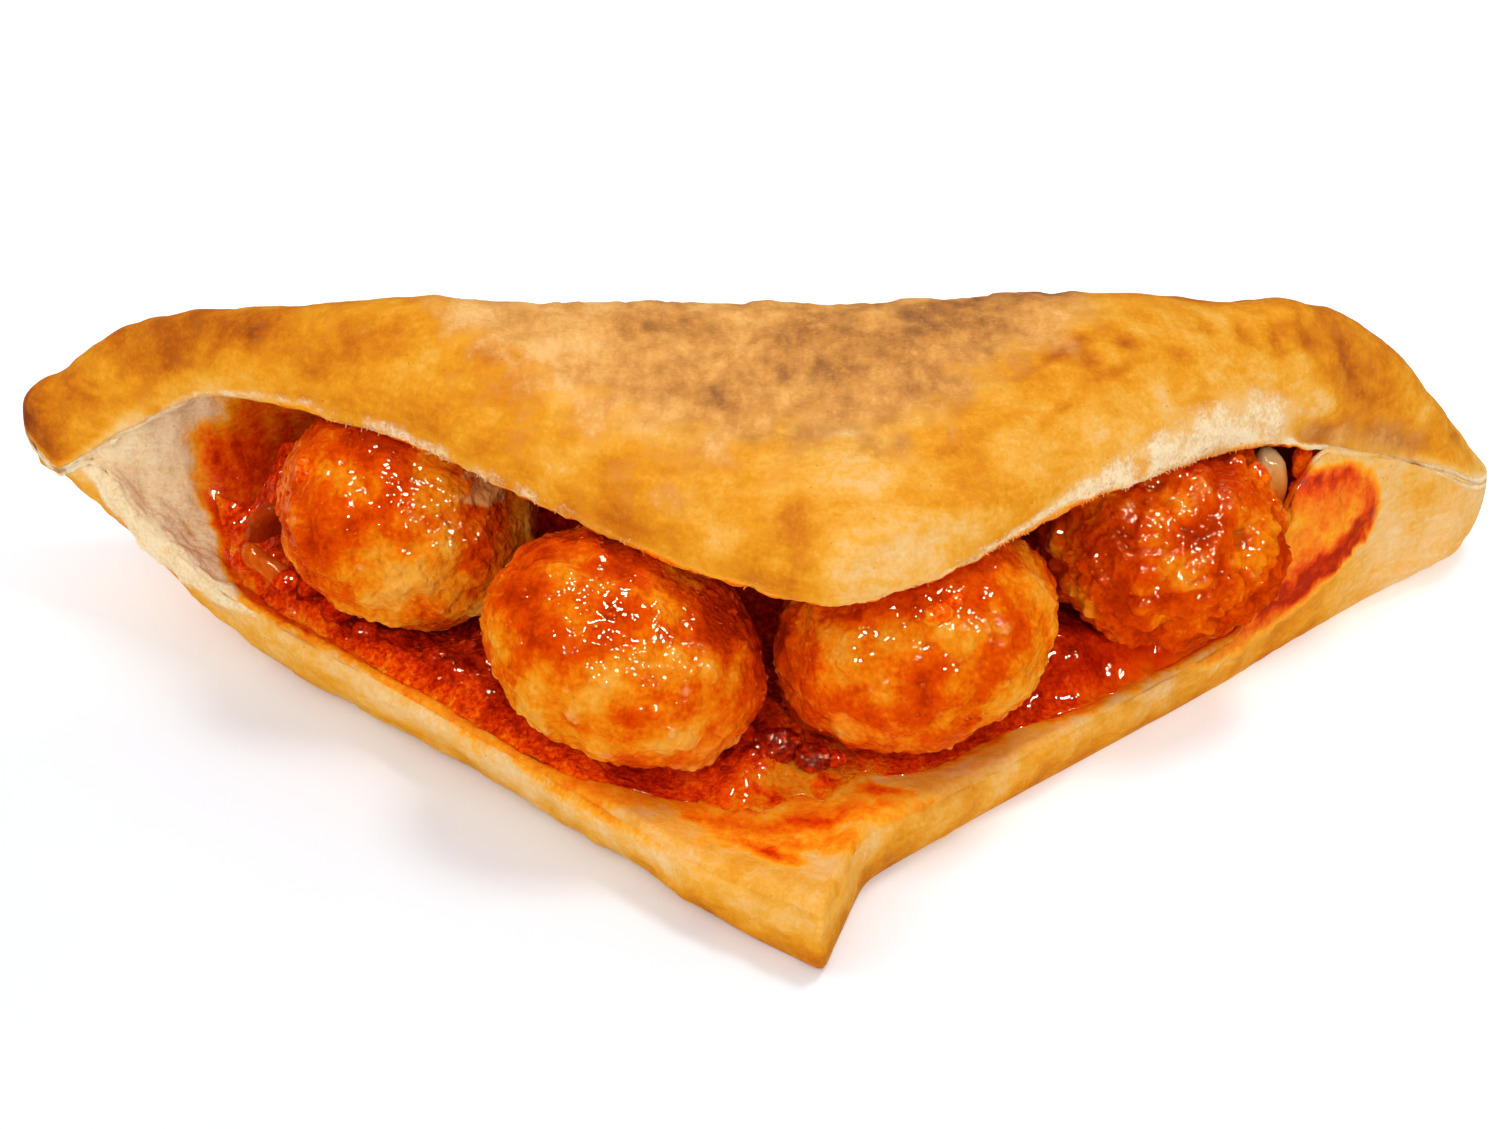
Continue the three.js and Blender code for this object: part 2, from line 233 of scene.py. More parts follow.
@dataclass
class Loft:
    """A closed skin through rows of closed outlines, with its painted masks."""

    rows: Array
    masks: dict[str, Array] = field(default_factory=dict)

    def axes(self) -> Array:
        """Give x, y and z of the rows apart."""
        return np.moveaxis(self.rows, -1, 0)

    def normals(self) -> Array:
        """Give the outward direction at each point of the rows."""
        around = np.roll(self.rows, -1, axis=1) - np.roll(self.rows, 1, axis=1)
        along = np.gradient(self.rows, axis=0)
        out = np.cross(around, along)
        return out / np.maximum(np.linalg.norm(out, axis=-1, keepdims=True), 1e-9)

    def push(self, height: Array) -> None:
        """Move every point out along its own direction by that height."""
        self.rows = self.rows + self.normals() * height[..., None]

    def faces(self) -> Array:
        """Give the triangles, with a fan of faces over each end."""
        count, around = self.rows.shape[:2]
        i, j = np.meshgrid(np.arange(count - 1), np.arange(around), indexing="ij")
        k = (j + 1) % around
        a, b = i * around + j, i * around + k
        c, d = (i + 1) * around + k, (i + 1) * around + j
        sides = np.concatenate([np.stack([a, b, c], -1), np.stack([a, c, d], -1)]).reshape(-1, 3)
        ring = np.arange(around)
        after = (ring + 1) % around
        last = (count - 1) * around
        low = np.full(around, count * around)
        start = np.stack([low, after, ring], -1)
        end = np.stack([low + 1, last + ring, last + after], -1)
        return np.concatenate([sides, start, end])

    def points(self) -> Array:
        """Give every point, the middles of both ends last."""
        ends = self.rows[[0, -1]].mean(axis=1)
        return np.concatenate([self.rows.reshape(-1, 3), ends])

    def painted(self) -> dict[str, Array]:
        """Give the masks point by point, in the order of ``points``."""
        return {
            name: np.concatenate([mask.ravel(), mask[[0, -1]].mean(axis=1)])
            for name, mask in self.masks.items()
        }


def in_scene(name: str, data: bpy.types.ID) -> Piece:
    """Put a new object with that mesh, light or camera in the scene."""
    thing = bpy.data.objects.new(name, data)
    bpy.context.scene.collection.objects.link(thing)
    return thing


def make_piece(name: str, points: Array, faces: Array, masks: dict[str, Array]) -> Piece:
    """Make a smooth-shaded object whose place is in its mesh.

    Args:
        name: Name of the piece.
        points: Places in the drawing, in millimetres.
        faces: Rows of point numbers.
        masks: Painted values, one for each point.

    Returns:
        The new object, in the scene.
    """
    mesh = bpy.data.meshes.new(name)
    mesh.from_pydata(laid(points).tolist(), [], faces.tolist())
    for mask, values in masks.items():
        layer = mesh.attributes.new(mask, "FLOAT", "POINT")
        layer.data.foreach_set("value", np.ascontiguousarray(values, np.float32))
    mesh.polygons.foreach_set("use_smooth", [True] * len(mesh.polygons))
    mesh.update()
    return in_scene(name, mesh)


def unit_ball(subdivisions: int) -> tuple[Array, Array]:
    """Make the points and triangles of a ball of radius 1."""
    work = bmesh.new()
    bmesh.ops.create_icosphere(work, subdivisions=subdivisions, radius=1.0)
    points = np.array([v.co[:] for v in work.verts])
    faces = np.array([[v.index for v in f.verts] for f in work.faces])
    work.free()
    return points, faces


# Node trees

class Knob:
    """An output socket that can be used in Python expressions."""

    def __init__(self, bench: "Bench", socket: bpy.types.NodeSocket) -> None:
        """Keep the socket and the bench that its nodes stand on."""
        self.bench = bench
        self.socket = socket

    def _math(self, operation: str, first: object, second: object) -> "Knob":
        """Add a Math node."""
        return self.bench.put("ShaderNodeMath", {"operation": operation}, {0: first, 1: second})

    def __add__(self, other: object) -> "Knob":
        """Add."""
        return self._math("ADD", self, other)

    def __radd__(self, other: object) -> "Knob":
        """Add from the left."""
        return self._math("ADD", other, self)

    def __sub__(self, other: object) -> "Knob":
        """Subtract."""
        return self._math("SUBTRACT", self, other)

    def __rsub__(self, other: object) -> "Knob":
        """Subtract from a value on the left."""
        return self._math("SUBTRACT", other, self)

    def __mul__(self, other: object) -> "Knob":
        """Multiply."""
        return self._math("MULTIPLY", self, other)

    def __rmul__(self, other: object) -> "Knob":
        """Multiply from the left."""
        return self._math("MULTIPLY", other, self)


class Bench:
    """Places and links the nodes of one tree."""

    def __init__(self, tree: bpy.types.NodeTree) -> None:
        """Keep the tree."""
        self.tree = tree

    def put(
        self,
        kind: str,
        settings: dict[str, object] | None = None,
        values: dict[str | int, object] | None = None,
        out: str | int = 0,
    ) -> Knob:
        """Add one node.

        Args:
            kind: Type of the node.
            settings: Properties, set before anything else. ``stops`` are a ramp's places and
                colours.
            values: Numbers, colours or knobs for the sockets.
            out: Name or number of the output to hand back.

        Returns:
            The chosen output.
        """
        node = self.tree.nodes.new(kind)
        for key, value in (settings or {}).items():
            if key == "stops":
                self._fill_ramp(node.color_ramp, value)
            else:
                setattr(node, key, value)
        for key, value in (values or {}).items():
            socket = node.inputs[key]
            if isinstance(value, Knob):
                self.tree.links.new(value.socket, socket)
            else:
                socket.default_value = value
        return Knob(self, node.outputs[out]) if node.outputs else Knob(self, None)

    def vector(self, operation: str, *values: object, out: str = "Vector") -> Knob:
        """Add a Vector Math node."""
        settings = {"operation": operation}
        return self.put("ShaderNodeVectorMath", settings, dict(enumerate(values)), out)

    @staticmethod
    def _fill_ramp(colour_ramp: bpy.types.ColorRamp, stops: list[tuple[float, Colour]]) -> None:
        """Set a ramp's stops."""
        while len(colour_ramp.elements) < len(stops):
            colour_ramp.elements.new(0.5)
        for element, (place, colour) in zip(colour_ramp.elements, stops):
            element.position = place
            element.color = colour


class Paint(Bench):
    """A bench for one material, with the few nodes that the finishes use again and again."""

    def __init__(self, name: str) -> None:
        """Make an empty material."""
        self.material = bpy.data.materials.new(name)
        self.material.use_nodes = True
        super().__init__(self.material.node_tree)
        self.tree.nodes.clear()
        self.place = self.put("ShaderNodeTexCoord", out="Object")

    def mask(self, name: str) -> Knob:
        """Read a painted mask."""
        return self.put("ShaderNodeAttribute", {"attribute_name": name}, out="Fac")

    def noise(self, size_mm: float, detail: float = 3.0, stretch: Triple = (1, 1, 1)) -> Knob:
        """Give noise between 0 and 1 with features of that size.

        Args:
            size_mm: Length of a feature in millimetres.
            detail: Number of finer layers.
            stretch: Factor on the coordinates along x, y and z.

        Returns:
            The noise value.
        """
        place = self.place
        if stretch != (1, 1, 1):
            place = self.vector("MULTIPLY", place, stretch)
        values = {"Vector": place, "Scale": 1 / (size_mm * MM), "Detail": detail, "Roughness": 0.55}
        return self.put("ShaderNodeTexNoise", None, values, "Fac")

    def pebbles(self, size_mm: float) -> Knob:
        """Give the distance to scattered seeds, 0 at a seed."""
        settings = {"feature": "SMOOTH_F1"}
        values = {"Vector": self.place, "Scale": 1 / (size_mm * MM), "Smoothness": 0.4}
        return self.put("ShaderNodeTexVoronoi", settings, values, "Distance")

    def patches(self, size_mm: float, detail: float = 2.0, soft: float = 0.14) -> Knob:
        """Give strong patches, 0 or 1 with soft edges, of that size."""
        return self.rise(self.noise(size_mm, detail), 0.5 - soft, 0.5 + soft)

    def rise(self, value: Knob, low: float, high: float) -> Knob:
        """Rise softly from 0 at low to 1 at high."""
        return self.put(
            "ShaderNodeMapRange", {"interpolation_type": "SMOOTHSTEP"},
            {"Value": value, "From Min": low, "From Max": high},
        )

    def tones(self, value: Knob, stops: Shades) -> Knob:
        """Turn a value into a colour.

        Args:
            value: Place along the ramp.
            stops: Places and colour codes.

        Returns:
            The colour.
        """
        coded = [(place, tone(code)) for place, code in stops]
        return self.put("ShaderNodeValToRGB", {"stops": coded}, {"Fac": value}, "Color")

    def layer(self, amount: Knob | float, below: Knob | Colour, above: Knob | Colour) -> Knob:
        """Lay one colour over another."""
        return self.put(
            "ShaderNodeMix", {"data_type": "RGBA"}, {0: amount, 6: below, 7: above}, 2
        )

    def finish(
        self,
        colour: Knob,
        roughness: Knob | float,
        bumps: list[tuple[Knob, float]],
        sheen: dict[str, object],
        coat: Knob | float = 0.0,
    ) -> Material:
        """Close the material with one shader.

        Args:
            colour: Base colour.
            roughness: Roughness of the surface.
            bumps: Height patterns, each with its depth in millimetres.
            sheen: Fixed values for the shader's other sockets.
            coat: Weight of the wet film on top.

        Returns:
            The finished material.
        """
        normal: dict[str, object] = {}
        for height, depth in bumps:
            values = {"Height": height, "Distance": depth * MM, "Strength": 1.0, **normal}
            normal = {"Normal": self.put("ShaderNodeBump", None, values)}
        values = {"Base Color": colour, "Roughness": roughness, "Coat Weight": coat, **sheen}
        shader = self.put("ShaderNodeBsdfPrincipled", None, {**values, **normal})
        self.put("ShaderNodeOutputMaterial", None, {"Surface": shader})
        return self.material


# Finishes

def translucent(
    weight: float, reach: Triple, reach_mm: float, specular: float, coat_roughness: float
) -> dict[str, object]:
    """Give the shader values of a surface that lets light in.

    Args:
        weight: Share of the light that gets in.
        reach: How far red, green and blue get, as shares of ``reach_mm``.
        reach_mm: How far the light gets in millimetres.
        specular: Gloss under the wet film.
        coat_roughness: Roughness of the wet film.

    Returns:
        Values by socket name.
    """
    return {
        "Subsurface Weight": weight, "Subsurface Radius": reach, "Subsurface Scale": reach_mm * MM,
        "Specular IOR Level": specular, "Coat Roughness": coat_roughness,
    }


@dataclass(frozen=True)
class BreadFinish:
    """Crust from pale to brown, tan mottled top, torn crumb, and sauce soaked into either."""

    crust: Shades = (
        (0.0, "F4DCB0"), (0.2, "F2C482"), (0.38, "F0AC40"), (0.52, "E89816"),
        (0.66, "D87E08"), (0.82, "BC5E00"), (1.0, "8A3A00"),
    )
    tan: Shades = (
        (0.0, "885234"), (0.25, "B07038"), (0.5, "D28E46"), (0.75, "EAA858"), (1.0, "F8C278"),
    )
    crumb: Shades = ((0.2, "E2B272"), (0.5, "F8DAAA"), (0.8, "FFF2D6"))
    soaked: Shades = (
        (0.05, "FABC54"), (0.3, "FFA616"), (0.5, "FF7E02"), (0.75, "F04600"), (1.0, "BC2600"),
    )
    pinhole: str = "9A5410"

    def build(self) -> Material:
        """Make the material."""
        paint = Paint("baked_bread")
        broad, middle, fine = paint.patches(12), paint.noise(4.2), paint.noise(1.2, 4)
        fibre = paint.noise(2.0, 3, (0.3, 0.9, 1.8))
        blotch, dapple = paint.patches(5.0, 3, 0.22), paint.noise(2.6, 3, (1.3, 0.6, 0.6))
        grit = paint.noise(0.5, 2)
        speckle = (middle - 0.5) * 0.8 + (fine - 0.5) * 0.7 + (grit - 0.5) * 0.6
        bake = paint.mask("bake") + speckle * 0.34 + (broad - 0.5) * 0.08 + (fibre - 0.5) * 0.24
        colour = paint.tones(bake, self.crust)
        mottle = paint.mask("mottle")
        mood = 0.58 + (blotch - 0.5) * 0.34 + (dapple - 0.5) * 0.75 + (broad - 0.5) * 0.16
        mood = mood + (fine - 0.5) * 0.2 + (grit - 0.5) * 0.4 - mottle * (0.5 - blotch * 0.2)
        over = paint.rise(paint.mask("tan") + speckle * 0.6 + (blotch - 0.5) * 0.3, 0.1, 0.9)
        colour = paint.layer(over * 0.92, colour, paint.tones(mood, self.tan))
        torn = paint.rise(paint.mask("crumb") + speckle * 0.5, 0.3, 0.7)
        inside = middle * 0.4 + fine * 0.4 + dapple * 0.2 + (grit - 0.5) * 0.5
        colour = paint.layer(torn, colour, paint.tones(inside, self.crumb))
        stain = paint.mask("stain")
        stain = stain + speckle * 0.4 + ((dapple - 0.5) * 0.9 + (fine - 0.5) * 0.5) * stain
        soaked = paint.tones(stain, self.soaked)
        colour = paint.layer(paint.rise(stain, 0.04, 0.32), colour, soaked)
        pinholes = paint.rise(paint.pebbles(2.6), 0.07, 0.03)
        colour = paint.layer(pinholes * 0.5, colour, tone(self.pinhole))
        wet = paint.rise(stain, 0.25, 0.7)
        roughness = 0.66 - 0.36 * wet + (fine - 0.5) * 0.25
        sheen = translucent(0.2, (1.0, 0.5, 0.2), 2.0, 0.08, 0.12)
        bumps = [(middle, 0.3), (dapple * 0.5 + fine, 0.25), (fibre * (0.4 + torn), 0.3)]
        return paint.finish(colour, roughness, bumps, sheen, wet * 0.55)


@dataclass(frozen=True)
class FringeFinish:
    """Thin shards of crumb that let light through."""

    crumb: Shades = ((0.2, "E0AC70"), (0.8, "F8D4A0"))

    def build(self) -> Material:
        """Make the material."""
        paint = Paint("crumb_shards")
        fine = paint.noise(1.2, 3)
        colour = paint.tones(fine, self.crumb)
        stain = paint.mask("stain") + (fine - 0.5) * 0.4
        soaked = paint.tones(stain, BreadFinish().soaked)
        colour = paint.layer(paint.rise(stain, 0.1, 0.4), colour, soaked)
        return paint.finish(colour, 0.8, [(fine, 0.05)], {"Specular IOR Level": 0.1})


@dataclass(frozen=True)
class MeatFinish:
    """Minced meat: light orange lumps, red sauce in the hollows, painted shade in the deepest.

    ``bumps`` pairs the size of each relief pattern with its depth, in millimetres.
    """

    shades: Shades = (
        (0.0, "F6A83C"), (0.2, "F6941A"), (0.4, "F27A08"), (0.6, "E65402"),
        (0.8, "DA4200"), (1.0, "BC3000"),
    )
    pale: str = "F4B868"
    pit_shade: str = "8A1A02"
    bumps: Pairs = ((2.4, 0.5), (1.2, 0.45), (0.7, 0.3))

    def build(self) -> Material:
        """Make the material."""
        paint = Paint("sauced_meat")
        broad, middle, fine = paint.noise(6), paint.noise(2.2), paint.noise(0.8, 4)
        amount = paint.mask("sauce") + (middle - 0.5) * 0.6 + (fine - 0.5) * 0.65
        colour = paint.tones(amount + (broad - 0.5) * 0.5, self.shades)
        bits = paint.rise(paint.mask("pale") + (fine - 0.5) * 0.9, 0.3, 1.0)
        colour = paint.layer(bits * 0.85, colour, tone(self.pale))
        # Painted shade: darker in the deepest hollows of the relief
        pit_shading = paint.rise(paint.mask("pit_shade"), 0.2, 1.0)
        colour = paint.layer(pit_shading * 0.4, colour, tone(self.pit_shade))
        roughness = 0.4 + (fine - 0.5) * 0.2
        sheen = translucent(0.1, (1.0, 0.3, 0.1), 1.5, 0.0, 0.035)
        bumps = [(paint.noise(size, 1), deep) for size, deep in self.bumps]
        return paint.finish(colour, roughness, bumps, sheen, 0.8)


@dataclass(frozen=True)
class SauceFinish:
    """Wet tomato sauce, darker where it is deep and more orange where it is thin."""

    shades: Shades = (
        (0.0, "820A00"), (0.25, "B41C00"), (0.5, "E03402"), (0.7, "FF5402"), (0.85, "FF7408"),
        (1.0, "FF9C1C"),
    )

    def build(self) -> Material:
        """Make the material."""
        paint = Paint("tomato_sauce")
        broad, middle, fine = paint.noise(7), paint.noise(2.0), paint.noise(0.7, 4)
        grain = paint.mask("grain")
        amount = paint.mask("thin") + ((middle - 0.5) * 0.8 + (fine - 0.5) * 1.1) * grain
        colour = paint.tones(amount + (broad - 0.5) * 0.4, self.shades)
        roughness = 0.26 + (fine - 0.5) * 0.15
        sheen = translucent(0.12, (1.0, 0.2, 0.08), 1.5, 0.0, 0.05)
        bumps = [(paint.noise(4.0, 1), 0.5), (paint.noise(2.0, 1) * (0.2 + grain), 0.5)]
        bumps += [(paint.noise(1.0, 1) * grain, 0.4), (paint.noise(0.6, 1) * grain, 0.3)]
        return paint.finish(colour, roughness, bumps, sheen, 0.9)


class OnionTint(Enum):
    """How far the sauce has stained a piece of onion, and whether it is paler higher up."""

    RED = (("8E2204", "B43C06", "D0641A"), False)
    TAN = (("B43404", "D8600E", "F09040"), False)
    PALE = (("F06400", "FFA640", "FFE29C"), True)


@dataclass(frozen=True)
class OnionFinish:
    """Soft cooked onion, streaked along its layers and stained by the sauce."""

    tint: OnionTint

    def build(self) -> Material:
        """Make the material."""
        codes, paler_above = self.tint.value
        paint = Paint(f"onion_{self.tint.name.lower()}")
        streak = paint.noise(1.4, 3, (1.0, 1.0, 0.3))
        fine = paint.noise(0.5)
        amount = streak * 0.6 + fine * 0.3
        if paler_above:
            amount = amount * 0.5 + paint.mask("upper") * 0.6
        colour = paint.tones(amount, tuple(zip((0.2, 0.5, 0.8), codes)))
        sheen = translucent(0.3, (1.0, 0.4, 0.2), 2.0, 0.0, 0.08)
        bumps = [(streak, 0.25), (fine, 0.08)]
        return paint.finish(colour, 0.3 + (fine - 0.5) * 0.1, bumps, sheen, 0.7)


@dataclass(frozen=True)
class FloorFinish:
    """Plain white board with a painted glow, dimmed in an oval under the bread as painted shadow,
    in metres.
    """

    shades: Shades = ((0.0, "F0F6FC"), (1.0, "F4FAFF"))
    squeeze: Triple = (1.0, 1.4, 0.0)
    shift: Triple = (0.07, 0.056, 0.0)
    fade: tuple[float, float] = (0.06, 0.13)
    shadow_glow: Colour = (0.2, 0.2, 0.2, 1.0)
    bright: Colour = (1.0, 1.0, 1.0, 1.0)
    painted_glow: float = 0.3

    def build(self) -> Material:
        """Make the material."""
        paint = Paint("white_board")
        colour = paint.tones(paint.noise(40), self.shades)
        # Painted glow on the board, dimmed under the bread's left half as painted shadow
        place = paint.vector("MULTIPLY_ADD", paint.place, self.squeeze, self.shift)
        away = paint.vector("LENGTH", place, out="Value")
        light = paint.layer(paint.rise(away, *self.fade), self.shadow_glow, self.bright)
        painted_glow = {"Specular IOR Level": 0.0, "Emission Color": light, "Emission Strength": self.painted_glow}
        return paint.finish(colour, 0.8, [], painted_glow)


# The bread

class Side(Enum):
    """Stretches of one outline of the bread."""

    UNDER = 0
    TOP = 1
    ROOF = 2
    FLOOR = 3


@dataclass
class Slice:
    """Lines and heights of the bread at stations along the long edge, each a column."""

    x: Array
    lower: Array
    upper: Array
    back: Array
    rim_low: Array
    rim_thick: Array
    flap_thick: Array
    under_back: Array
    top_back: Array
    depth: Array
    rim_high: Array
    belly: Array

    @property
    def rim_top(self) -> Array:
        """Height of the lower flap's front edge where the pocket starts."""
        return self.rim_low + self.rim_thick

    @property
    def middle(self) -> Array:
        """Height of the middle of the back edge."""
        return (self.under_back + self.top_back) / 2

    @property
    def deepest(self) -> Array:
        """Line where the pocket ends."""
        return (mix(self.lower, self.back, self.depth) + mix(self.upper, self.back, self.depth)) / 2


@dataclass(frozen=True)
class BreadForm:
    """The flaps' driving sizes and the rules that shape them, as in the solids."""

    left_end: float = -114.2
    right_end: float = 99.6
    blunt: float = 7.0
    tip: tuple[float, float] = (-3.0, -98.2)
    edge_slope: float = 0.885
    beak_slope: float = 3.6
    beak_step: float = 11.0
    upper_tip: tuple[float, float] = (2.0, -73.0)
    upper_round: float = 11.0
    upper_slopes: tuple[float, float] = (0.71, 0.84)
    back_y: float = 7.0
    rim_low: float = 1.0
    rim_thick: float = 7.5
    floor_thick: float = 7.6
    roof_thick: float = 9.0
    flap_thick: float = 11.4
    flap_level: float = 39.5
    arches: tuple[Triple, ...] = ((4.2, -58, 26), (3, 38, 20))
    climb: float = 0.19
    back_top: float = 33.0
    pocket_depth: float = 0.9
    lip_gap: float = 0.1
    relief: float = 0.55
    sink: float = 0.7

    def lower_edge(self, x: Array) -> Array:
        """Front line of the lower flap."""
        left = self.tip[1] + self.edge_slope * (self.tip[0] - x)
        left = soft_min(left, -12 + 0.35 * (-x - 98), 3) - 1.2 * bump(x, -14, 9)
        beak = soft_min(self.beak_slope * (x - 1.4), self.beak_step + self.edge_slope * x, 3)
        return soft_max(left, self.tip[1] + beak, 2) - 3 * ramp(78, 96, x) - 1.2 * ramp(66, 84, -x)

    def upper_edge(self, x: Array) -> Array:
        """Front line of the upper flap."""
        slope = mix(*self.upper_slopes, ramp(-15, 15, x))
        run = np.sqrt((x - self.upper_tip[0]) ** 2 + self.upper_round ** 2) - self.upper_round
        closed = ramp(88, 108, -x) + ramp(74, 92, x)
        return mix(self.upper_tip[1] + slope * run, self.lower_edge(x) + 0.5, closed)

    def rim_bottom(self, x: Array) -> Array:
        """Lowest height of the lower flap's front edge."""
        lift = np.clip(-x - 66, 0, 60)
        height = self.rim_low + 1.6 * ramp(4, 26, -x) + ramp(30, 60, -x) + 0.4 * ramp(4, 26, x)
        return height + 0.0078 * lift * lift + 2.5 * ramp(98, 109, -x) + 1.6 * bump(x, 74, 12)

    def crease(self, x: Array) -> Array:
        """Height at which the two flaps meet towards the ends."""
        left = soft_max(24 + 0.86 * (x + 104), 20.5, 2)
        return soft_min(left, 19.5 + 0.64 * (93 - x), 3) - 2 * ramp(90, 99, x)

    def slice_at(self, x: Array) -> Slice:
        """Work out all lines and heights at the given stations.

        Args:
            x: Stations along the long edge.

        Returns:
            The lines and heights there.
        """
        low = self.rim_bottom(x)
        shut = np.maximum(self.crease(x) - low - self.lip_gap, 1.2)
        at_ends = ramp(94, 107, -x) + ramp(58.5, 72, x)
        thick = mix(self.rim_thick + 3 * bump(x, 0, 12), shut, at_ends)
        arch = self.flap_level + humps(x, *self.arches)
        high = np.maximum(soft_min(arch, self.crease(x), 4), low + thick)
        flap = self.flap_thick + 3.5 * ramp(78, 98, -x) - 1.5 * ramp(100, 112, -x)
        top = self.back_top - 1.5 * bump(x, -55, 25) + 1.5 * ramp(0, 30, x) + 2 * ramp(70, 94, -x)
        return Slice(
            x=x,
            lower=self.lower_edge(x),
            upper=self.upper_edge(x),
            back=self.back_y + ramp(50, 98, x),
            rim_low=low,
            rim_thick=thick,
            flap_thick=flap + 4.8 * ramp(52, 72, x) - 12.5 * ramp(84, 99, x),
            under_back=3 + 13.5 * ramp(60, 112, -x) + 2.5 * ramp(60, 98, x),
            top_back=top - 9.5 * ramp(96, 112, -x) - 19 * ramp(72, 99, x),
            depth=self.pocket_depth * ramp(108, 66, -x) * ramp(92, 58, x) + 0.02,
            rim_high=high,
            belly=20 * ramp(100, 70, -x) * ramp(96, 70, x),
        )

    @staticmethod
    def under(s: Slice, v: Array) -> Array:
        """Height of the underside, v being 0 at the front and 1 at the back."""
        return np.maximum(0, mix(s.rim_low, s.under_back, v) - s.belly * v * (1 - v))

    def over(self, s: Slice, v: Array) -> Array:
        """Height of the top, v being 0 at the front and 1 at the back."""
        span = s.back - s.upper
        rising = s.rim_high + s.flap_thick + self.climb * span * v
        return soft_min(rising, s.top_back + span * (1 - v), 6)

    def wall(self, s: Slice, t: Array, side: Side) -> Array:
        """Height of the pocket's floor or roof.

        Args:
            s: Stations.
            t: Place across the pocket, 0 at the rim and 1 at its deepest line.
            side: ROOF or FLOOR.

        Returns:
            The heights.
        """
        f = t * s.depth
        floor = self.under(s, f) + mix(s.rim_thick, self.floor_thick, ramp(0, 0.4, f))
        roof = self.over(s, f) - mix(s.flap_thick, self.roof_thick, ramp(0, 0.5, f))
        middle = (floor + roof) / 2
        chosen, rim, turn = (
            (roof, s.rim_high, 0.25) if side is Side.ROOF else (floor, s.rim_top, 0.2)
        )
        z = middle + (chosen - middle) * (1 - t ** 3) ** (1 / 2.2)
        return mix(rim, z, np.where(s.depth > 0.1, ramp(0, turn, t), t))

    def taper(self, x: Array) -> Array:
        """Shrink of the outline at the two blunt ends."""
        left = clamp01((self.left_end + self.blunt - x) / self.blunt)
        right = clamp01((x - (self.right_end - self.blunt)) / self.blunt)
        return np.maximum(((1 - left ** 2.4) * (1 - right ** 2.4)) ** (1 / 2.4), 0.001)

    def places(self, count: int) -> Array:
        """Spread stations along the bread, closer together at the tip and at both ends.

        Args:
            count: Number of stations.

        Returns:
            Their x, as a column.
        """
        x = np.linspace(self.left_end + 0.02, self.right_end - 0.02, 4000)
        close = 1 + humps(x, (0.5, 1, 8), (2, self.left_end, 6), (2, self.right_end, 6))
        reach = np.concatenate([[0], np.cumsum(close[1:])])
        return np.interp(np.linspace(0, reach[-1], count), reach, x)[:, None]


@dataclass(frozen=True)
class Spot:
    """A soft oval patch: its middle, its half sizes, its turn in degrees and its strength."""

    x: float
    y: float
    long: float
    wide: float
    turn: float
    strength: float

    def at(self, x: Array, y: Array) -> Array:
        """Give the patch's strength at each place."""
        c, s = math.cos(math.radians(self.turn)), math.sin(math.radians(self.turn))
        u = ((x - self.x) * c + (y - self.y) * s) / self.long
        v = ((y - self.y) * c - (x - self.x) * s) / self.wide
        return self.strength * np.exp(-(u * u + v * v))


def spotted(spots: tuple[Spot, ...], x: Array, y: Array) -> Array:
    """Add up the strength of several patches at each place."""
    return sum(spot.at(x, y) for spot in spots)


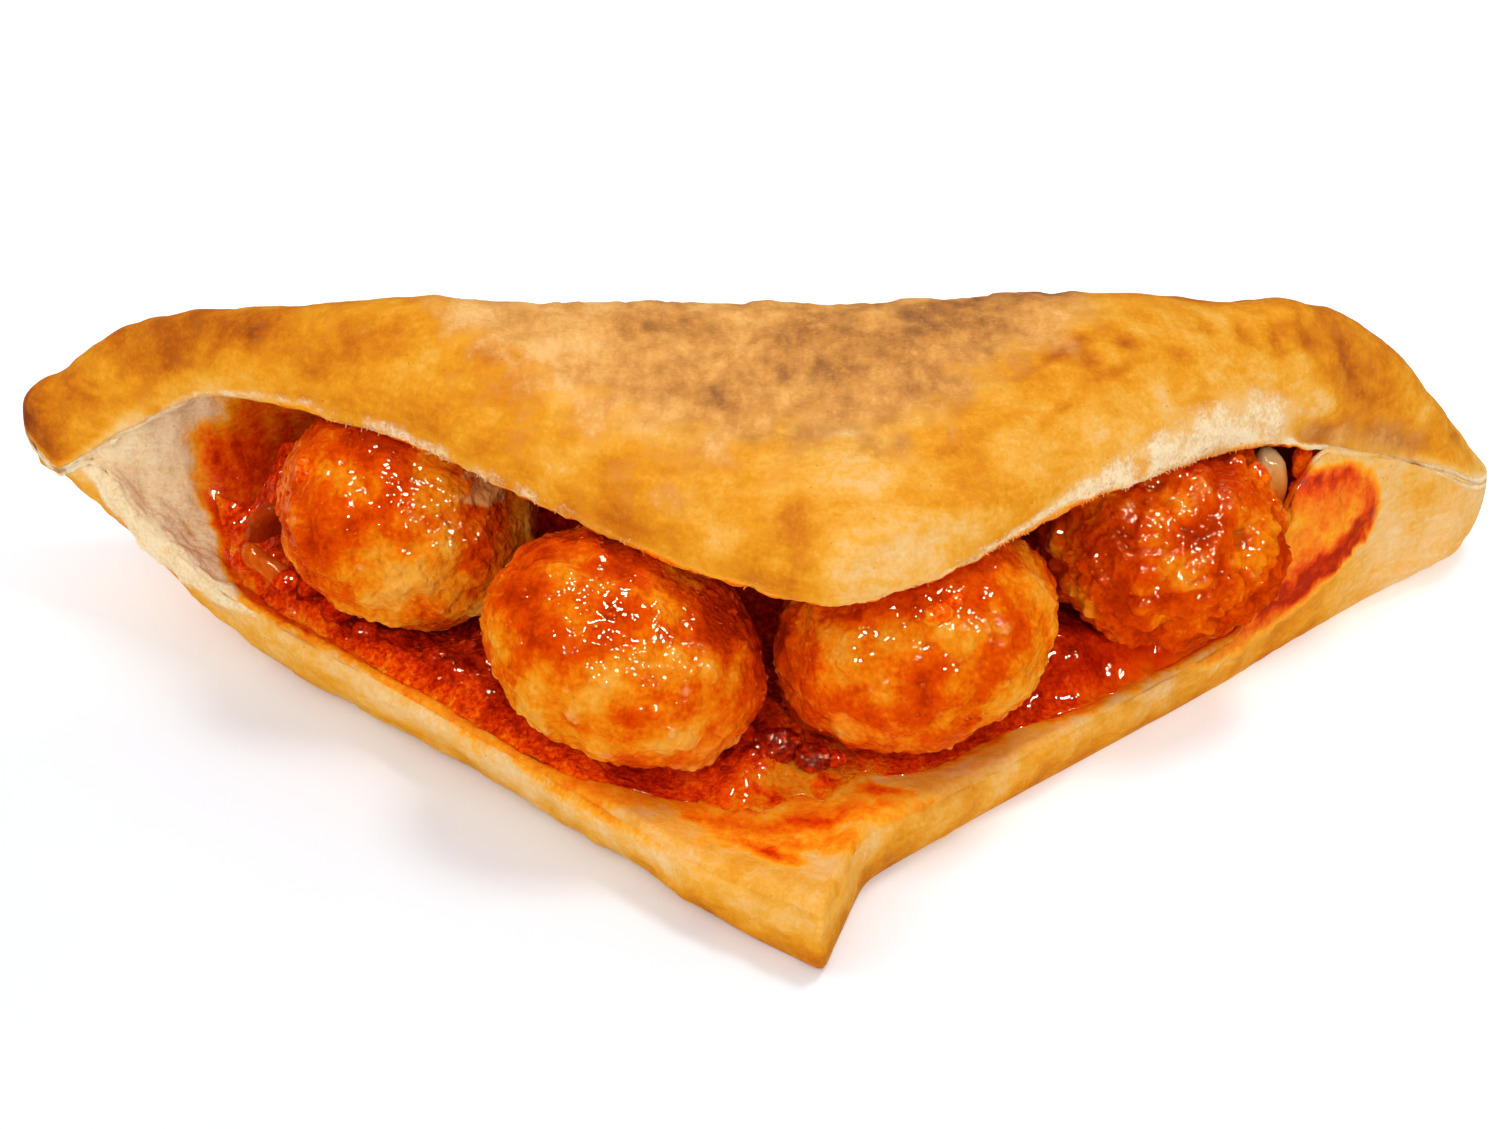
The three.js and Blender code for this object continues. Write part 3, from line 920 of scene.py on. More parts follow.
@dataclass
class Bread:
    """Both flaps and the joined back edge, one piece.

    Pairs are places along x with a value: the height of the torn strip, how baked the edge of
    the crust is, and how far back the tan top starts. Spots lie on the crust (x, y) or on the
    upright front (x, z). What has no first value is worked out once for all points: the
    stations, the side and the place across it, how near the mouth and how high over the upper
    rim each point is, and three seeded patterns.
    """

    form: BreadForm = field(default_factory=BreadForm)
    stations: int = 342
    steps: dict[Side, int] = field(
        default_factory=lambda: {Side.UNDER: 62, Side.TOP: 130, Side.ROOF: 28, Side.FLOOR: 66}
    )
    strip: Pairs = (
        (-112, 0.3), (-98, 1.2), (-84, 2.4), (-66, 3.6), (-42, 3.8), (-26, 2.0), (-12, 0.9),
        (14, 0.9), (24, 2.6), (34, 5.0), (48, 8.0), (60, 10.0), (68, 7.5), (74, 2.0), (86, 0.9),
        (98, 0.6),
    )
    # Towards the right end the values fall, partly for the paler crust there and partly as painted
    # light from the right
    baked: Pairs = (
        (-112, 0.54), (-84, 0.57), (-62, 0.6), (-40, 0.54), (-18, 0.5), (4, 0.48), (24, 0.5),
        (44, 0.59), (58, 0.64), (68, 0.62), (78, 0.52), (88, 0.4), (94, 0.33),
    )
    plateau: Pairs = (
        (-60, 20), (-46, 13), (-34, 10), (-22, 10), (-8, 14), (2, 16), (17, 19), (31, 24), (45, 28),
    )
    dimples: Pairs = (
        (53.7, -24), (58.5, -23), (63.5, -21.5), (68.5, -19.5), (75, -16), (41.5, -32.5),
        (36.5, -37),
    )
    browned: tuple[Spot, ...] = (
        Spot(-86, -13, 7, 3.5, -40, 0.14), Spot(-78, -19.5, 9, 3.5, -40, 0.15),
        Spot(-90, -12, 6, 3.5, -30, 0.14),
        Spot(-44, -37, 5, 3, -35, 0.12), Spot(-38, -43, 4, 2.5, -35, 0.12),
        Spot(-2.9, -67.6, 2.6, 3.4, 0, 0.26), Spot(33, -36, 9, 1.0, 45, 0.22),
        Spot(32, -46.5, 5, 0.9, 45, 0.22), Spot(40, -38, 5, 0.8, 35, 0.18),
        Spot(93, -5, 4, 5, 0, 0.1), Spot(22, -52, 6, 1.2, 40, 0.15),
    )
    mottled: tuple[Spot, ...] = (
        Spot(-22, -43.8, 4, 3, 20, 0.5), Spot(-21.8, -29, 7, 5, 0, 0.55),
        Spot(-12.8, -45.2, 5, 3.5, 0, 0.6), Spot(-4.4, -37.3, 6, 4, 70, 0.6),
        Spot(-4.5, -53.8, 4, 2.5, 0, 0.6), Spot(0, -30, 7, 5, 40, 0.65),
        Spot(3.8, -40.7, 5, 4, 0, 0.5), Spot(8.2, -54.9, 4.5, 2.6, 15, 0.75),
        Spot(12, -30, 7, 6, 20, 0.75), Spot(25, -22, 10, 5, 30, 0.95),
        Spot(36, -16, 8, 6, 30, 0.6), Spot(-35, -25, 7, 5, 0, 0.35), Spot(14, -44, 5, 4, 0, 0.35),
    )
    wing_browned: Spot = Spot(87, 19.5, 5, 2.6, -35, 0.16)
    tip_smears: tuple[Spot, ...] = (
        Spot(4, -76, 13, 2.6, 18, 0.26), Spot(-10, -79, 9, 2.4, -25, 0.26),
    )
    tip_stains: tuple[Spot, ...] = (
        Spot(-7.6, -84, 6.5, 1.6, -42, 0.62), Spot(-4, -87.3, 2.4, 1.7, -20, 0.3),
    )
    drips: tuple[Triple, ...] = ((0.9, -71, 6), (0.9, -20, 14), (0.9, 32, 8), (0.6, 57, 7))
    corner_stain: Spot = Spot(63.5, 10.5, 6.0, 3.6, 20, 0.85)
    wall_tear: Spot = Spot(-95, 17, 5, 1.6, 30, 0.6)
    wing_bulge: Spot = Spot(71.5, 20.5, 7.5, 8.5, 0, 2.0)
    hidden_relief: float = 0.35
    paint_seed: int = 11
    soak_seed: int = 5
    relief_seed: int = 23
    slice: Slice = field(init=False)
    side: Array = field(init=False)
    across: Array = field(init=False)
    fore: Array = field(init=False)
    above: Array = field(init=False)
    rough: Array = field(init=False)
    broad: Array = field(init=False)
    streak: Array = field(init=False)

    def build(self) -> Loft:
        """Shape the skin and paint its masks.

        Returns:
            The finished skin, in the drawing's millimetres.
        """
        s = self.form.slice_at(self.form.places(self.stations))
        self.slice = s
        rows, sides, across = [], [], []
        for side in Side:
            last = self.steps[side] - 1
            k = np.arange(last) if side in (Side.UNDER, Side.ROOF) else np.arange(last, 0, -1)
            if side in (Side.UNDER, Side.TOP):
                ease = np.sin(k / last * np.pi / 2) ** (2.8 if side is Side.UNDER else 2.2)
            else:
                ease = (k / last) ** 1.5
            v = np.broadcast_to(ease, (self.stations, last))
            if side in (Side.UNDER, Side.TOP):
                row = self._outer(s, v, side)
            else:
                front = s.upper if side is Side.ROOF else s.lower
                row = np.stack([mix(front, s.deepest, v), self.form.wall(s, v, side)], -1)
            rows.append(self._rounded(s, row, side))
            sides.append(np.full(v.shape, side.value))
            across.append(v)
        flat = np.concatenate(rows, axis=1)
        self.side = np.concatenate(sides, axis=1)
        self.across = np.concatenate(across, axis=1)
        shrink = self.form.taper(s.x)
        middle = np.stack([(s.lower + s.back) / 2, (s.rim_top + s.rim_high) / 2], -1)
        flat = middle + (flat - middle) * shrink[..., None]
        x = np.broadcast_to(s.x, flat.shape[:2])
        skin = Loft(np.concatenate([x[..., None], flat], axis=-1))
        self._roughen(skin)
        self._paint(skin)
        self._detail(skin)
        skin.rows[..., 2] = np.maximum(skin.rows[..., 2], 0.0)
        return skin

    def _on(self, *sides: Side) -> Array:
        """Say which points lie on these stretches of the outline."""
        return np.isin(self.side, [side.value for side in sides])

    def _dimpled(self, x: Array, y: Array) -> Array:
        """Say where the small dimples are, 1 in the middle of each."""
        return sum(bump(x, across, 1.7) * bump(y, along, 2.2) for across, along in self.dimples)

    @staticmethod
    def _fold(x: Array, y: Array) -> Array:
        """Give the distance behind the soft fold that runs back from the upper flap's tip."""
        return y + 71 - 0.58 * (x - 3.2)

    def _rounded(self, s: Slice, places: Array, side: Side) -> Array:
        """Round the edge where a flap's front turns into the pocket."""
        y, z = places[..., 0], places[..., 1]
        lower = side in (Side.UNDER, Side.FLOOR)
        edge, corner, up = (s.lower, s.rim_top, 1) if lower else (s.upper, s.rim_high, -1)
        tip = bump(s.x, -2, 24)
        radius = (2.6 + 2.6 * tip if lower else 1.2) * ramp(112, 92, np.abs(s.x + 6))
        radius = 0.2 + radius * (1 - 0.9 * ramp(64, 74, s.x))
        radius = np.minimum(radius, mix(0.35, 0.52, tip) * s.rim_thick)
        outside = side in (Side.UNDER, Side.TOP)
        away = (corner - z) * up if outside else y - edge
        turn = np.pi / 4 * (1 + np.clip((-1 if outside else 1) * away / radius, -1, 1))
        back, down = radius * (1 - np.cos(turn)), radius * (1 - np.sin(turn))
        if outside:
            moved = y + back, z + up * (away - down)
        else:
            moved = edge + back, z - up * down
        near = (away < radius) & (y < edge + 7)
        return np.stack([np.where(near, moved[0], y), np.where(near, moved[1], z)], -1)

    def _outer(self, s: Slice, v: Array, side: Side) -> Array:
        """Give y and z along the underside or the top."""
        back = (1 - v ** 4) ** (1 / 2.5)
        if side is Side.UNDER:
            front, rim, target = s.lower, s.rim_top, self.form.under(s, v)
            wide = np.minimum(5 / (s.back - front), 0.5)
        else:
            front, rim, target = s.upper, s.rim_high, self.form.over(s, v)
            wide = np.minimum(15 / (s.back - front), 0.55)
        middle = mix(rim, s.middle, v)
        rise = (1 - (1 - clamp01(v / wide)) ** 2.2) ** (1 / 2.2) * back
        z = middle + (target - middle) * rise
        if side is Side.UNDER:
            z = np.maximum(0, z - self.form.sink * (1 - ramp(self.form.sink, 5, z)))
        return np.stack([mix(front, s.back, v), z], -1)

    def _roughen(self, skin: Loft) -> None:
        """Push out the same shallow unevenness that the solid has."""
        x, y, z = skin.axes()
        ends = ramp(0, 5, x - self.form.left_end) * ramp(0, 5, self.form.right_end - x)
        height = self.form.relief * (wave(x, y, z, 6, 0.7) + 0.45 * wave(x, y, z, 2.7, 2.9)) * ends
        height *= np.where(self._on(Side.ROOF, Side.FLOOR), self.hidden_relief, 1.0)
        skin.push(height * ramp(0.2, 3, z))

    def _paint(self, skin: Loft) -> None:
        """Paint how baked, tan, mottled, torn and soaked each place is."""
        x, y, z = skin.axes()
        grain = Grain(self.paint_seed)
        self.rough = grain.layered(skin.rows, 5.0, 3)
        self.broad = grain.layered(skin.rows + 50, 16.0, 2)
        self.streak = grain.layered(skin.rows * np.array([0.3, 1.0, 1.0]) + 90, 5.0, 2)
        # Tears, stains and the pale fold are at the mouth, not at the closed back edge
        self.fore = ramp(0.62, 0.45, self.across)
        self.above = z - self.slice.rim_high + 40 * (1 - self.fore)
        crumb, tan = self._torn(x, y, z), self._tanned(x, y, z)
        hairy = crumb * ramp(2.4, 0.4, self.above) * self._on(Side.TOP)
        hairy *= ramp(66, 58, np.abs(x + 3)) * (1 - 0.95 * bump(x, 1, 15))
        skin.masks = {
            "bake": clamp01(self._baked(x, y, z)), "tan": clamp01(tan),
            "mottle": self._mottling(x, y, tan), "crumb": clamp01(crumb),
            "stain": self._soak(skin), "hairy": clamp01(hairy * ramp(-0.5, 0.5, self.rough + 0.3)),
        }

    def _torn(self, x: Array, y: Array, z: Array) -> Array:
        """Say where the crust is torn off and the crumb shows."""
        s, rough, fore = self.slice, self.rough, self.fore
        under, top, floor = (self._on(side) for side in (Side.UNDER, Side.TOP, Side.FLOOR))
        strip = read_off(self.strip, x)
        ragged = (0.45 + 0.2 * ramp(0, 30, x) + 0.4 * rough) * ramp(80, 72, x)
        torn_top = ragged * (1 - ramp(0.4, 1.4, (self.above + 1.2 * rough) / strip))
        # Less crumb in the hollow on the right, so that its painted shade shows
        torn_top *= 1 - 0.9 * self._hollow(x, z)
        # The left wall is torn down to a line that falls away from the fold
        wall_line = 11 + 0.075 * np.clip(-92 - x, 0, 30) ** 2 + 0.8 * rough
        torn_left = ramp(-3.2, 2.6, z - wall_line) * ramp(70, 84, -x) * fore
        torn_left *= ramp(0, 4, 112 - np.abs(x))
        torn_rim = 0.15 * ramp(-2.2, -0.4, z - s.rim_top + 0.6 * rough) * ramp(-66, -56, -x) * fore
        ahead = sauce_front(self.form, x) - y
        ledge = 1 - 0.75 * ramp(-3, 0, ahead) * ramp(-80, -66, x)
        inner = np.where(floor, ledge, 1.0)
        crumb = np.where(top, torn_top, np.where(under, np.maximum(torn_left, torn_rim), inner))
        seam = ramp(1.4, 0.4, np.abs(z - np.where(top, s.rim_high, s.rim_top))) * fore
        seam *= ramp(82, 94, x)
        return np.maximum(crumb, 0.7 * seam * (top | under))

    def _tanned(self, x: Array, y: Array, z: Array) -> Array:
        """Say where the tan top lies, with painted shade in the hollow on the right."""
        rough, broad = self.rough, self.broad
        # On the back the tan top breaks up and ends well above the board
        rear = ramp(-6, 6, y)
        stray = 16 * rough * rear
        inward = y - self.slice.upper - read_off(self.plateau, x)
        tan = ramp(-11, 11, inward + 6 * rough + 3 * broad)
        tan *= ramp(72, 38, stray - x) * ramp(60, 28, stray + x)
        tan *= 1 - rear * (1 - 0.6 * ramp(14, 42, z + 9 * rough + 5 * broad))
        # Painted shade: the hollow on the right takes the tan colour
        return np.maximum(tan, 0.6 * self._hollow(x, z)) * self._on(Side.TOP)

    def _mottling(self, x: Array, y: Array, tan: Array) -> Array:
        """Say how dark the tan top is, below 0 where it is lighter than usual."""
        rough, broad = self.rough, self.broad
        hidden = ramp(-24, -10, y) * ramp(-0.1, 0.9, broad + 0.2 + 0.3 * rough)
        mottle = (spotted(self.mottled, x, y) + 0.6 * hidden) * self._on(Side.TOP)
        mottle = mottle * ramp(0.05, 0.6, tan) * (1 + 0.5 * rough)
        return clamp01(mottle) - 0.5 * ramp(-14, -38, x) - 0.2 * ramp(0, 1, broad) - 0.04

    def _baked(self, x: Array, y: Array, z: Array) -> Array:
        """Say how brown each place is, 0 for white dough and 1 for dark brown."""
        s, rough, broad, streak, fore = self.slice, self.rough, self.broad, self.streak, self.fore
        under, floor = self._on(Side.UNDER), self._on(Side.FLOOR)
        bake = self._crust(x, y, z)
        low = 1 - ramp(0.1, 0.75, (z - s.rim_low) / s.rim_thick)
        front = 0.3 + 0.2 * low + 0.1 * broad + 0.14 * streak
        front = front + 0.14 * bump(x, -2, 14) + 0.07 * ramp(4, 30, x)
        below = 0.6 + 0.14 * broad + 0.08 * rough
        front = mix(front, below, ramp(4, 16, y - s.lower) * under)
        bake = np.where(under, front, bake)
        wing = 0.27 + 0.06 * broad + 0.06 * streak + self.wing_browned.at(x, z)
        bake = mix(bake, wing, ramp(70, 80, x) * ramp(3, -2, z - self.form.crease(x)) * fore)
        gold = 0.2 * ramp(14, 2, y - s.lower) * bump(x, -4, 30) * (0.7 + 0.6 * rough)
        bake = np.where(floor, 0.27 + 0.1 * broad + 0.1 * streak + gold, bake)
        return bake + 0.16 * ramp(103, 111, -x) + 0.1 * ramp(-2, 8, y) * (1 - ramp(60, 90, x))

    def _crust(self, x: Array, y: Array, z: Array) -> Array:
        """Say how brown the upper crust is."""
        height = self.above / read_off(self.strip, x)
        bake = read_off(self.baked, x) + 0.07 * ramp(-30, -12, y) * ramp(-104, -80, x)
        bake = bake + 0.09 * self.broad + 0.08 * self.rough + 0.12 * self.streak
        bake += spotted(self.browned, x, y) + 0.26 * self._dimpled(x, y)
        bake += 0.14 * ramp(-16, -6, y) * ramp(60, 80, -x)
        bake -= 0.26 * ramp(3.6, 1.0, height) * ramp(60, 84, -x)
        bake -= 0.2 * ramp(2.8, 0.9, height) * ramp(20, 50, x)
        bake -= 0.12 * bump(self._fold(x, y), -3, 3) * ramp(0, 8, x) * ramp(28, 18, x)
        # Painted shade: the crust is browner in the hollow where the flap bends into the fold on
        # the right
        return bake + 0.3 * self._hollow(x, z)

    def _hollow(self, x: Array, z: Array) -> Array:
        """Say where the upper flap is drawn in over the fold on the right."""
        drawn_in = bump(z - 33.6 + 0.58 * (x - 74), 0, 2.8) * ramp(64, 71, x) * ramp(94, 84, x)
        return drawn_in * self.fore

    def _soak(self, skin: Loft) -> Array:
        """Say where sauce and its oil have soaked in, 0 where dry, 0.3 where oily, 1 where red."""
        rough, above = self.rough, self.above
        x, y, z = skin.axes()
        under, top, roof, floor = (self._on(side) for side in Side)
        swirl = Grain(self.soak_seed).layered(skin.rows * np.array([0.8, 1.5, 1.0]), 7.0, 3)
        ahead = sauce_front(self.form, x) - y
        reach = 2.6 + 4.5 * bump(x, -34, 20)
        bleed = 0.75 * ramp(-1.5, 1.2, -ahead - 0.8 * rough)
        bleed = np.maximum(bleed, 0.4 * ramp(reach + 1, reach - 3, ahead + 2.0 * rough))
        left = ramp(-90, -84.5, x - 2.4 * rough + 0.12 * (y + 22))
        right = ramp(84, 77, x + 1.2 * rough)
        soak = bleed * left * right
        away = np.hypot((x + 1) / 19, (y + 77) / 10.5) + 0.22 * rough
        film = ramp(1.12, 0.72, away)
        soak = np.maximum(soak, film * (0.36 + 0.34 * swirl + spotted(self.tip_smears, x, y)))
        soak = np.maximum(soak, spotted(self.tip_stains, x, y) * (1 + 0.9 * rough))
        soak = np.where(floor, soak, 0.0)
        soak = np.where(roof, (0.55 + 0.15 * rough) * ramp(88, 80, -x) * ramp(71, 65, x), soak)
        places = clamp01(humps(x, *self.drips) + 0.3 * rough) * ramp(68, 60, x) * ramp(-84, -78, x)
        drip = (0.5 + 0.3 * rough) * ramp(2.4, 0.4, above + 0.8 * rough) * top * places
        drop = self.slice.rim_top - z
        rim = (0.35 + 0.25 * rough) * ramp(1.6, 0.3, drop) * bump(x, -6, 16)
        oily = (0.36 + 0.3 * rough) * ramp(4.2, 0.8, drop + 1.5 * rough) * bump(x, -36, 18)
        smeared = (0.55 + 0.4 * rough) * ramp(3.4, 1.2, drop + 1.2 * rough) * bump(x, 60, 7)
        rim = (rim + oily + smeared) * under * self.fore
        away = np.hypot(x - 69, z - 20) + 0.5 * rough
        lobe = ramp(12.6, 9.8, away)
        lobe *= ramp(-1.2, 1.2, z - 6.6 - 0.61 * np.maximum(x - 65, 0) + 0.8 * rough)
        inner = np.where(under, self.fore, floor)
        lobe *= ramp(58, 62, x) * inner
        red = 0.6 * ramp(18, 14, z - 0.35 * (x - 68) + 2 * rough) + 0.2 * ramp(24, 31, z)
        lobe *= 0.44 + 0.14 * swirl + red + 0.26 * ramp(6, 10.5, away + 1.2 * rough)
        corner = self.corner_stain.at(x, z) * inner * ramp(-40, -34, y)
        lobe = np.maximum(lobe, corner * (1 + 0.4 * rough))
        return clamp01(np.maximum(np.maximum(soak, lobe), np.maximum(drip, rim)))

    def _detail(self, skin: Loft) -> None:
        """Push in pores and tears where the crumb shows, and soft wrinkles on the crust."""
        x, y, z = skin.axes()
        grain, crumb, tan = Grain(self.relief_seed), skin.masks["crumb"], skin.masks["tan"]
        under, top, floor = (self._on(side) for side in (Side.UNDER, Side.TOP, Side.FLOOR))
        ends = ramp(0, 4, x - self.form.left_end) * ramp(0, 4, self.form.right_end - x)
        near, _, own = grain.cells(skin.rows, 2.8)
        pores = -0.6 * np.exp(-((near / 0.4) ** 2)) * (own > 0.5) * np.where(top, 0.4, 1.0)
        tears = 0.4 * grain.layered(skin.rows * np.array([1.0, 1.0, 0.45]), 3.2, 3)
        fibres = 0.3 * grain.smooth(skin.rows * np.array([1.0, 1.0, 0.3]), 1.1)
        wall = 1.0 * grain.layered(skin.rows + 9, 7.0, 3) * ramp(76, 84, -x)
        wall -= self.wall_tear.at(x, z) * under * self.fore
        torn = pores + tears + fibres + wall
        crust = 0.35 * grain.layered(skin.rows + 31, 9.0, 3) + 0.07 * grain.smooth(skin.rows, 1.6)
        wrinkle = 0.12 * grain.smooth(skin.rows * np.array([0.6, 0.6, 1.6]), 2.4)
        lines = grain.smooth(skin.rows * np.array([0.8, 0.5, 0.6]) + 70, 3.4)
        wrinkle -= 0.22 * np.exp(-((lines / 0.14) ** 2)) * tan
        wrinkle += 0.3 * grain.layered(skin.rows + 44, 4.5, 2) * tan
        height = mix(crust + wrinkle, torn, crumb) - 0.15 * skin.masks["mottle"]
        front = under * ramp(5, 1, y - self.slice.lower)
        height += 0.5 * grain.layered(skin.rows + 61, 4.2, 3) * front
        fold = humps(self._fold(x, y), (0.7, 0, 1.6), (-0.5, -3.4, 2.0))
        height += (fold * ramp(-1, 5, x) * ramp(27, 18, x) - 0.4 * self._dimpled(x, y)) * top
        height -= 2.0 * self._hollow(x, z) * top * (1 - 0.7 * ramp(71, 77, x))
        height *= ends * ramp(0.1, 2.5, z)
        height = np.where(self._on(Side.ROOF, Side.FLOOR), height * 0.8, height)
        height += self.wing_bulge.at(x, z) * self.fore * (under | floor)
        skin.push(height)


def sauce_front(form: BreadForm, x: Array) -> Array:
    """Give the front line of the sauce on the lower flap."""
    set_back = 2.2 + humps(x, (14, -13, 13), (12.5, 2, 9), (6.5, 22, 14), (9.5, -1.5, 5))
    return form.lower_edge(x) + set_back + 11 * ramp(80, 87, -x) + 3.5 * ramp(62, 76, x)


# The filling

@dataclass(frozen=True)
class Meatball:
    """One meatball in the drawing.

    Its outline is an oval leaning along x with shallow lumps; ``saucy`` says how much of it the
    sauce covers, more towards its top and one side; ``cream`` is the middle of a pale fat patch.
    """

    node: str
    middle: Triple
    half: Triple
    lean: float
    seed: float
    lump: float
    saucy: float
    top_sauce: float
    side_sauce: tuple[float, float] = (0.0, 0.0)
    rough: float = 1.0
    cream: Triple = (0.0, 0.0, 0.0)
    cream_half: Triple = (6.0, 5.0, 3.0)

    def away(self, x: Array, y: Array) -> Array:
        """Give the distance from its middle seen from above, 1 at its outline."""
        return np.hypot((x - self.middle[0]) / self.half[0], (y - self.middle[1]) / self.half[1])

    def underside(self, x: Array, y: Array) -> Array:
        """Give the height of its smooth lower half."""
        drop = self.half[2] * np.sqrt(np.clip(1 - self.away(x, y) ** 2, 0, 1))
        return self.middle[2] - drop - self.lean * (x - self.middle[0])

    def build(self, ball: tuple[Array, Array], finish: Material) -> Piece:
        """Make the meatball.

        Args:
            ball: Points and triangles of a ball of radius 1.
            finish: Its material.

        Returns:
            The piece, which stands for its node.
        """
        unit, faces = ball
        x, y, z = unit.T
        lumps = wave(x, y, z, 0.42, self.seed) + 0.5 * wave(x, y, z, 0.22, self.seed + 2)
        swell = 1 + self.lump * lumps - 0.03 * ramp(0.5, 1, -z)
        skin = unit * np.array(self.half) * swell[:, None]
        skin[:, 2] -= self.lean * skin[:, 0]
        out = unit / np.array(self.half)
        out[:, 0] += self.lean * out[:, 2]
        out /= np.linalg.norm(out, axis=1, keepdims=True)
        grain = Grain(int(self.seed * 10))
        near, following, _ = grain.cells(skin + 3 * grain.layered(skin, 6.0, 2)[:, None], 6.0)
        lump = grain.lumps(skin, 8.0, 0.16) + 0.55 * grain.lumps(skin + 20, 4.2, 0.14)
        lump = lump - 0.9 * (self.rough - 0.9) * ramp(0.45, 0.0, following - near)
        grit = grain.lumps(skin + 50, 2.0, 0.1) + 0.5 * grain.lumps(skin + 60, 1.1, 0.08)
        patch = grain.layered(skin + 77, 10.0, 3)
        cover = self.saucy - 0.06 + 0.62 * patch + self.top_sauce * z + self.side_sauce[0] * x
        cover = cover + self.side_sauce[1] * y - 0.45 * (lump - 0.35)
        film = ramp(0.5, 0.62, cover + 0.12 * grain.smooth(skin + 5, 2.4))
        pale = ramp(0.42, 0.75, grain.layered(skin + 33, 3.6, 3))
        height = self.rough * (1.5 * lump + 0.4 * grain.layered(skin + 9, 5.0, 2))
        height += (self.rough - 1) * 3.5 * billow(grain.layered(skin + 40, 3.4, 2), 0.08)
        height += grit * mix(0.5, 0.3, film) + 0.3 * film + 0.35 * pale
        height -= height.mean()
        skin = skin + out * height[:, None] + np.array(self.middle)
        away = np.linalg.norm((skin - np.array(self.cream)) / np.array(self.cream_half), axis=1)
        cream = ramp(1.2, 0.5, away + 0.5 * grain.layered(skin, 3.0, 3))
        # The deepest hollows of the relief get a mask for painted shade
        masks = {
            "sauce": clamp01(cover), "pit_shade": ramp(-0.55, -1.0, height),
            "pale": np.maximum(0.6 * pale * ramp(0.8, 0.5, cover), cream),
            "pulpy": ramp(0.45, 0.75, cover) * ramp(-0.6, -0.1, z),
        }
        return dressed(self.node, skin, faces, masks, finish, "meatball")


def dressed(
    node: str, points: Array, faces: Array, masks: dict[str, Array], finish: Material,
    slot: str,
) -> Piece:
    """Make the piece that stands for one solid.

    Args:
        node: Name of the solid.
        points: Places in the drawing.
        faces: Rows of point numbers.
        masks: Painted values.
        finish: Material.
        slot: Slot of the record that it takes its finish from; not used.

    Returns:
        The piece, riding on the body.
    """
    piece = make_piece(f"{node}_surface", points, faces, masks)
    piece.data.materials.append(finish)
    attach(piece, "root")
    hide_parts(node)
    return piece


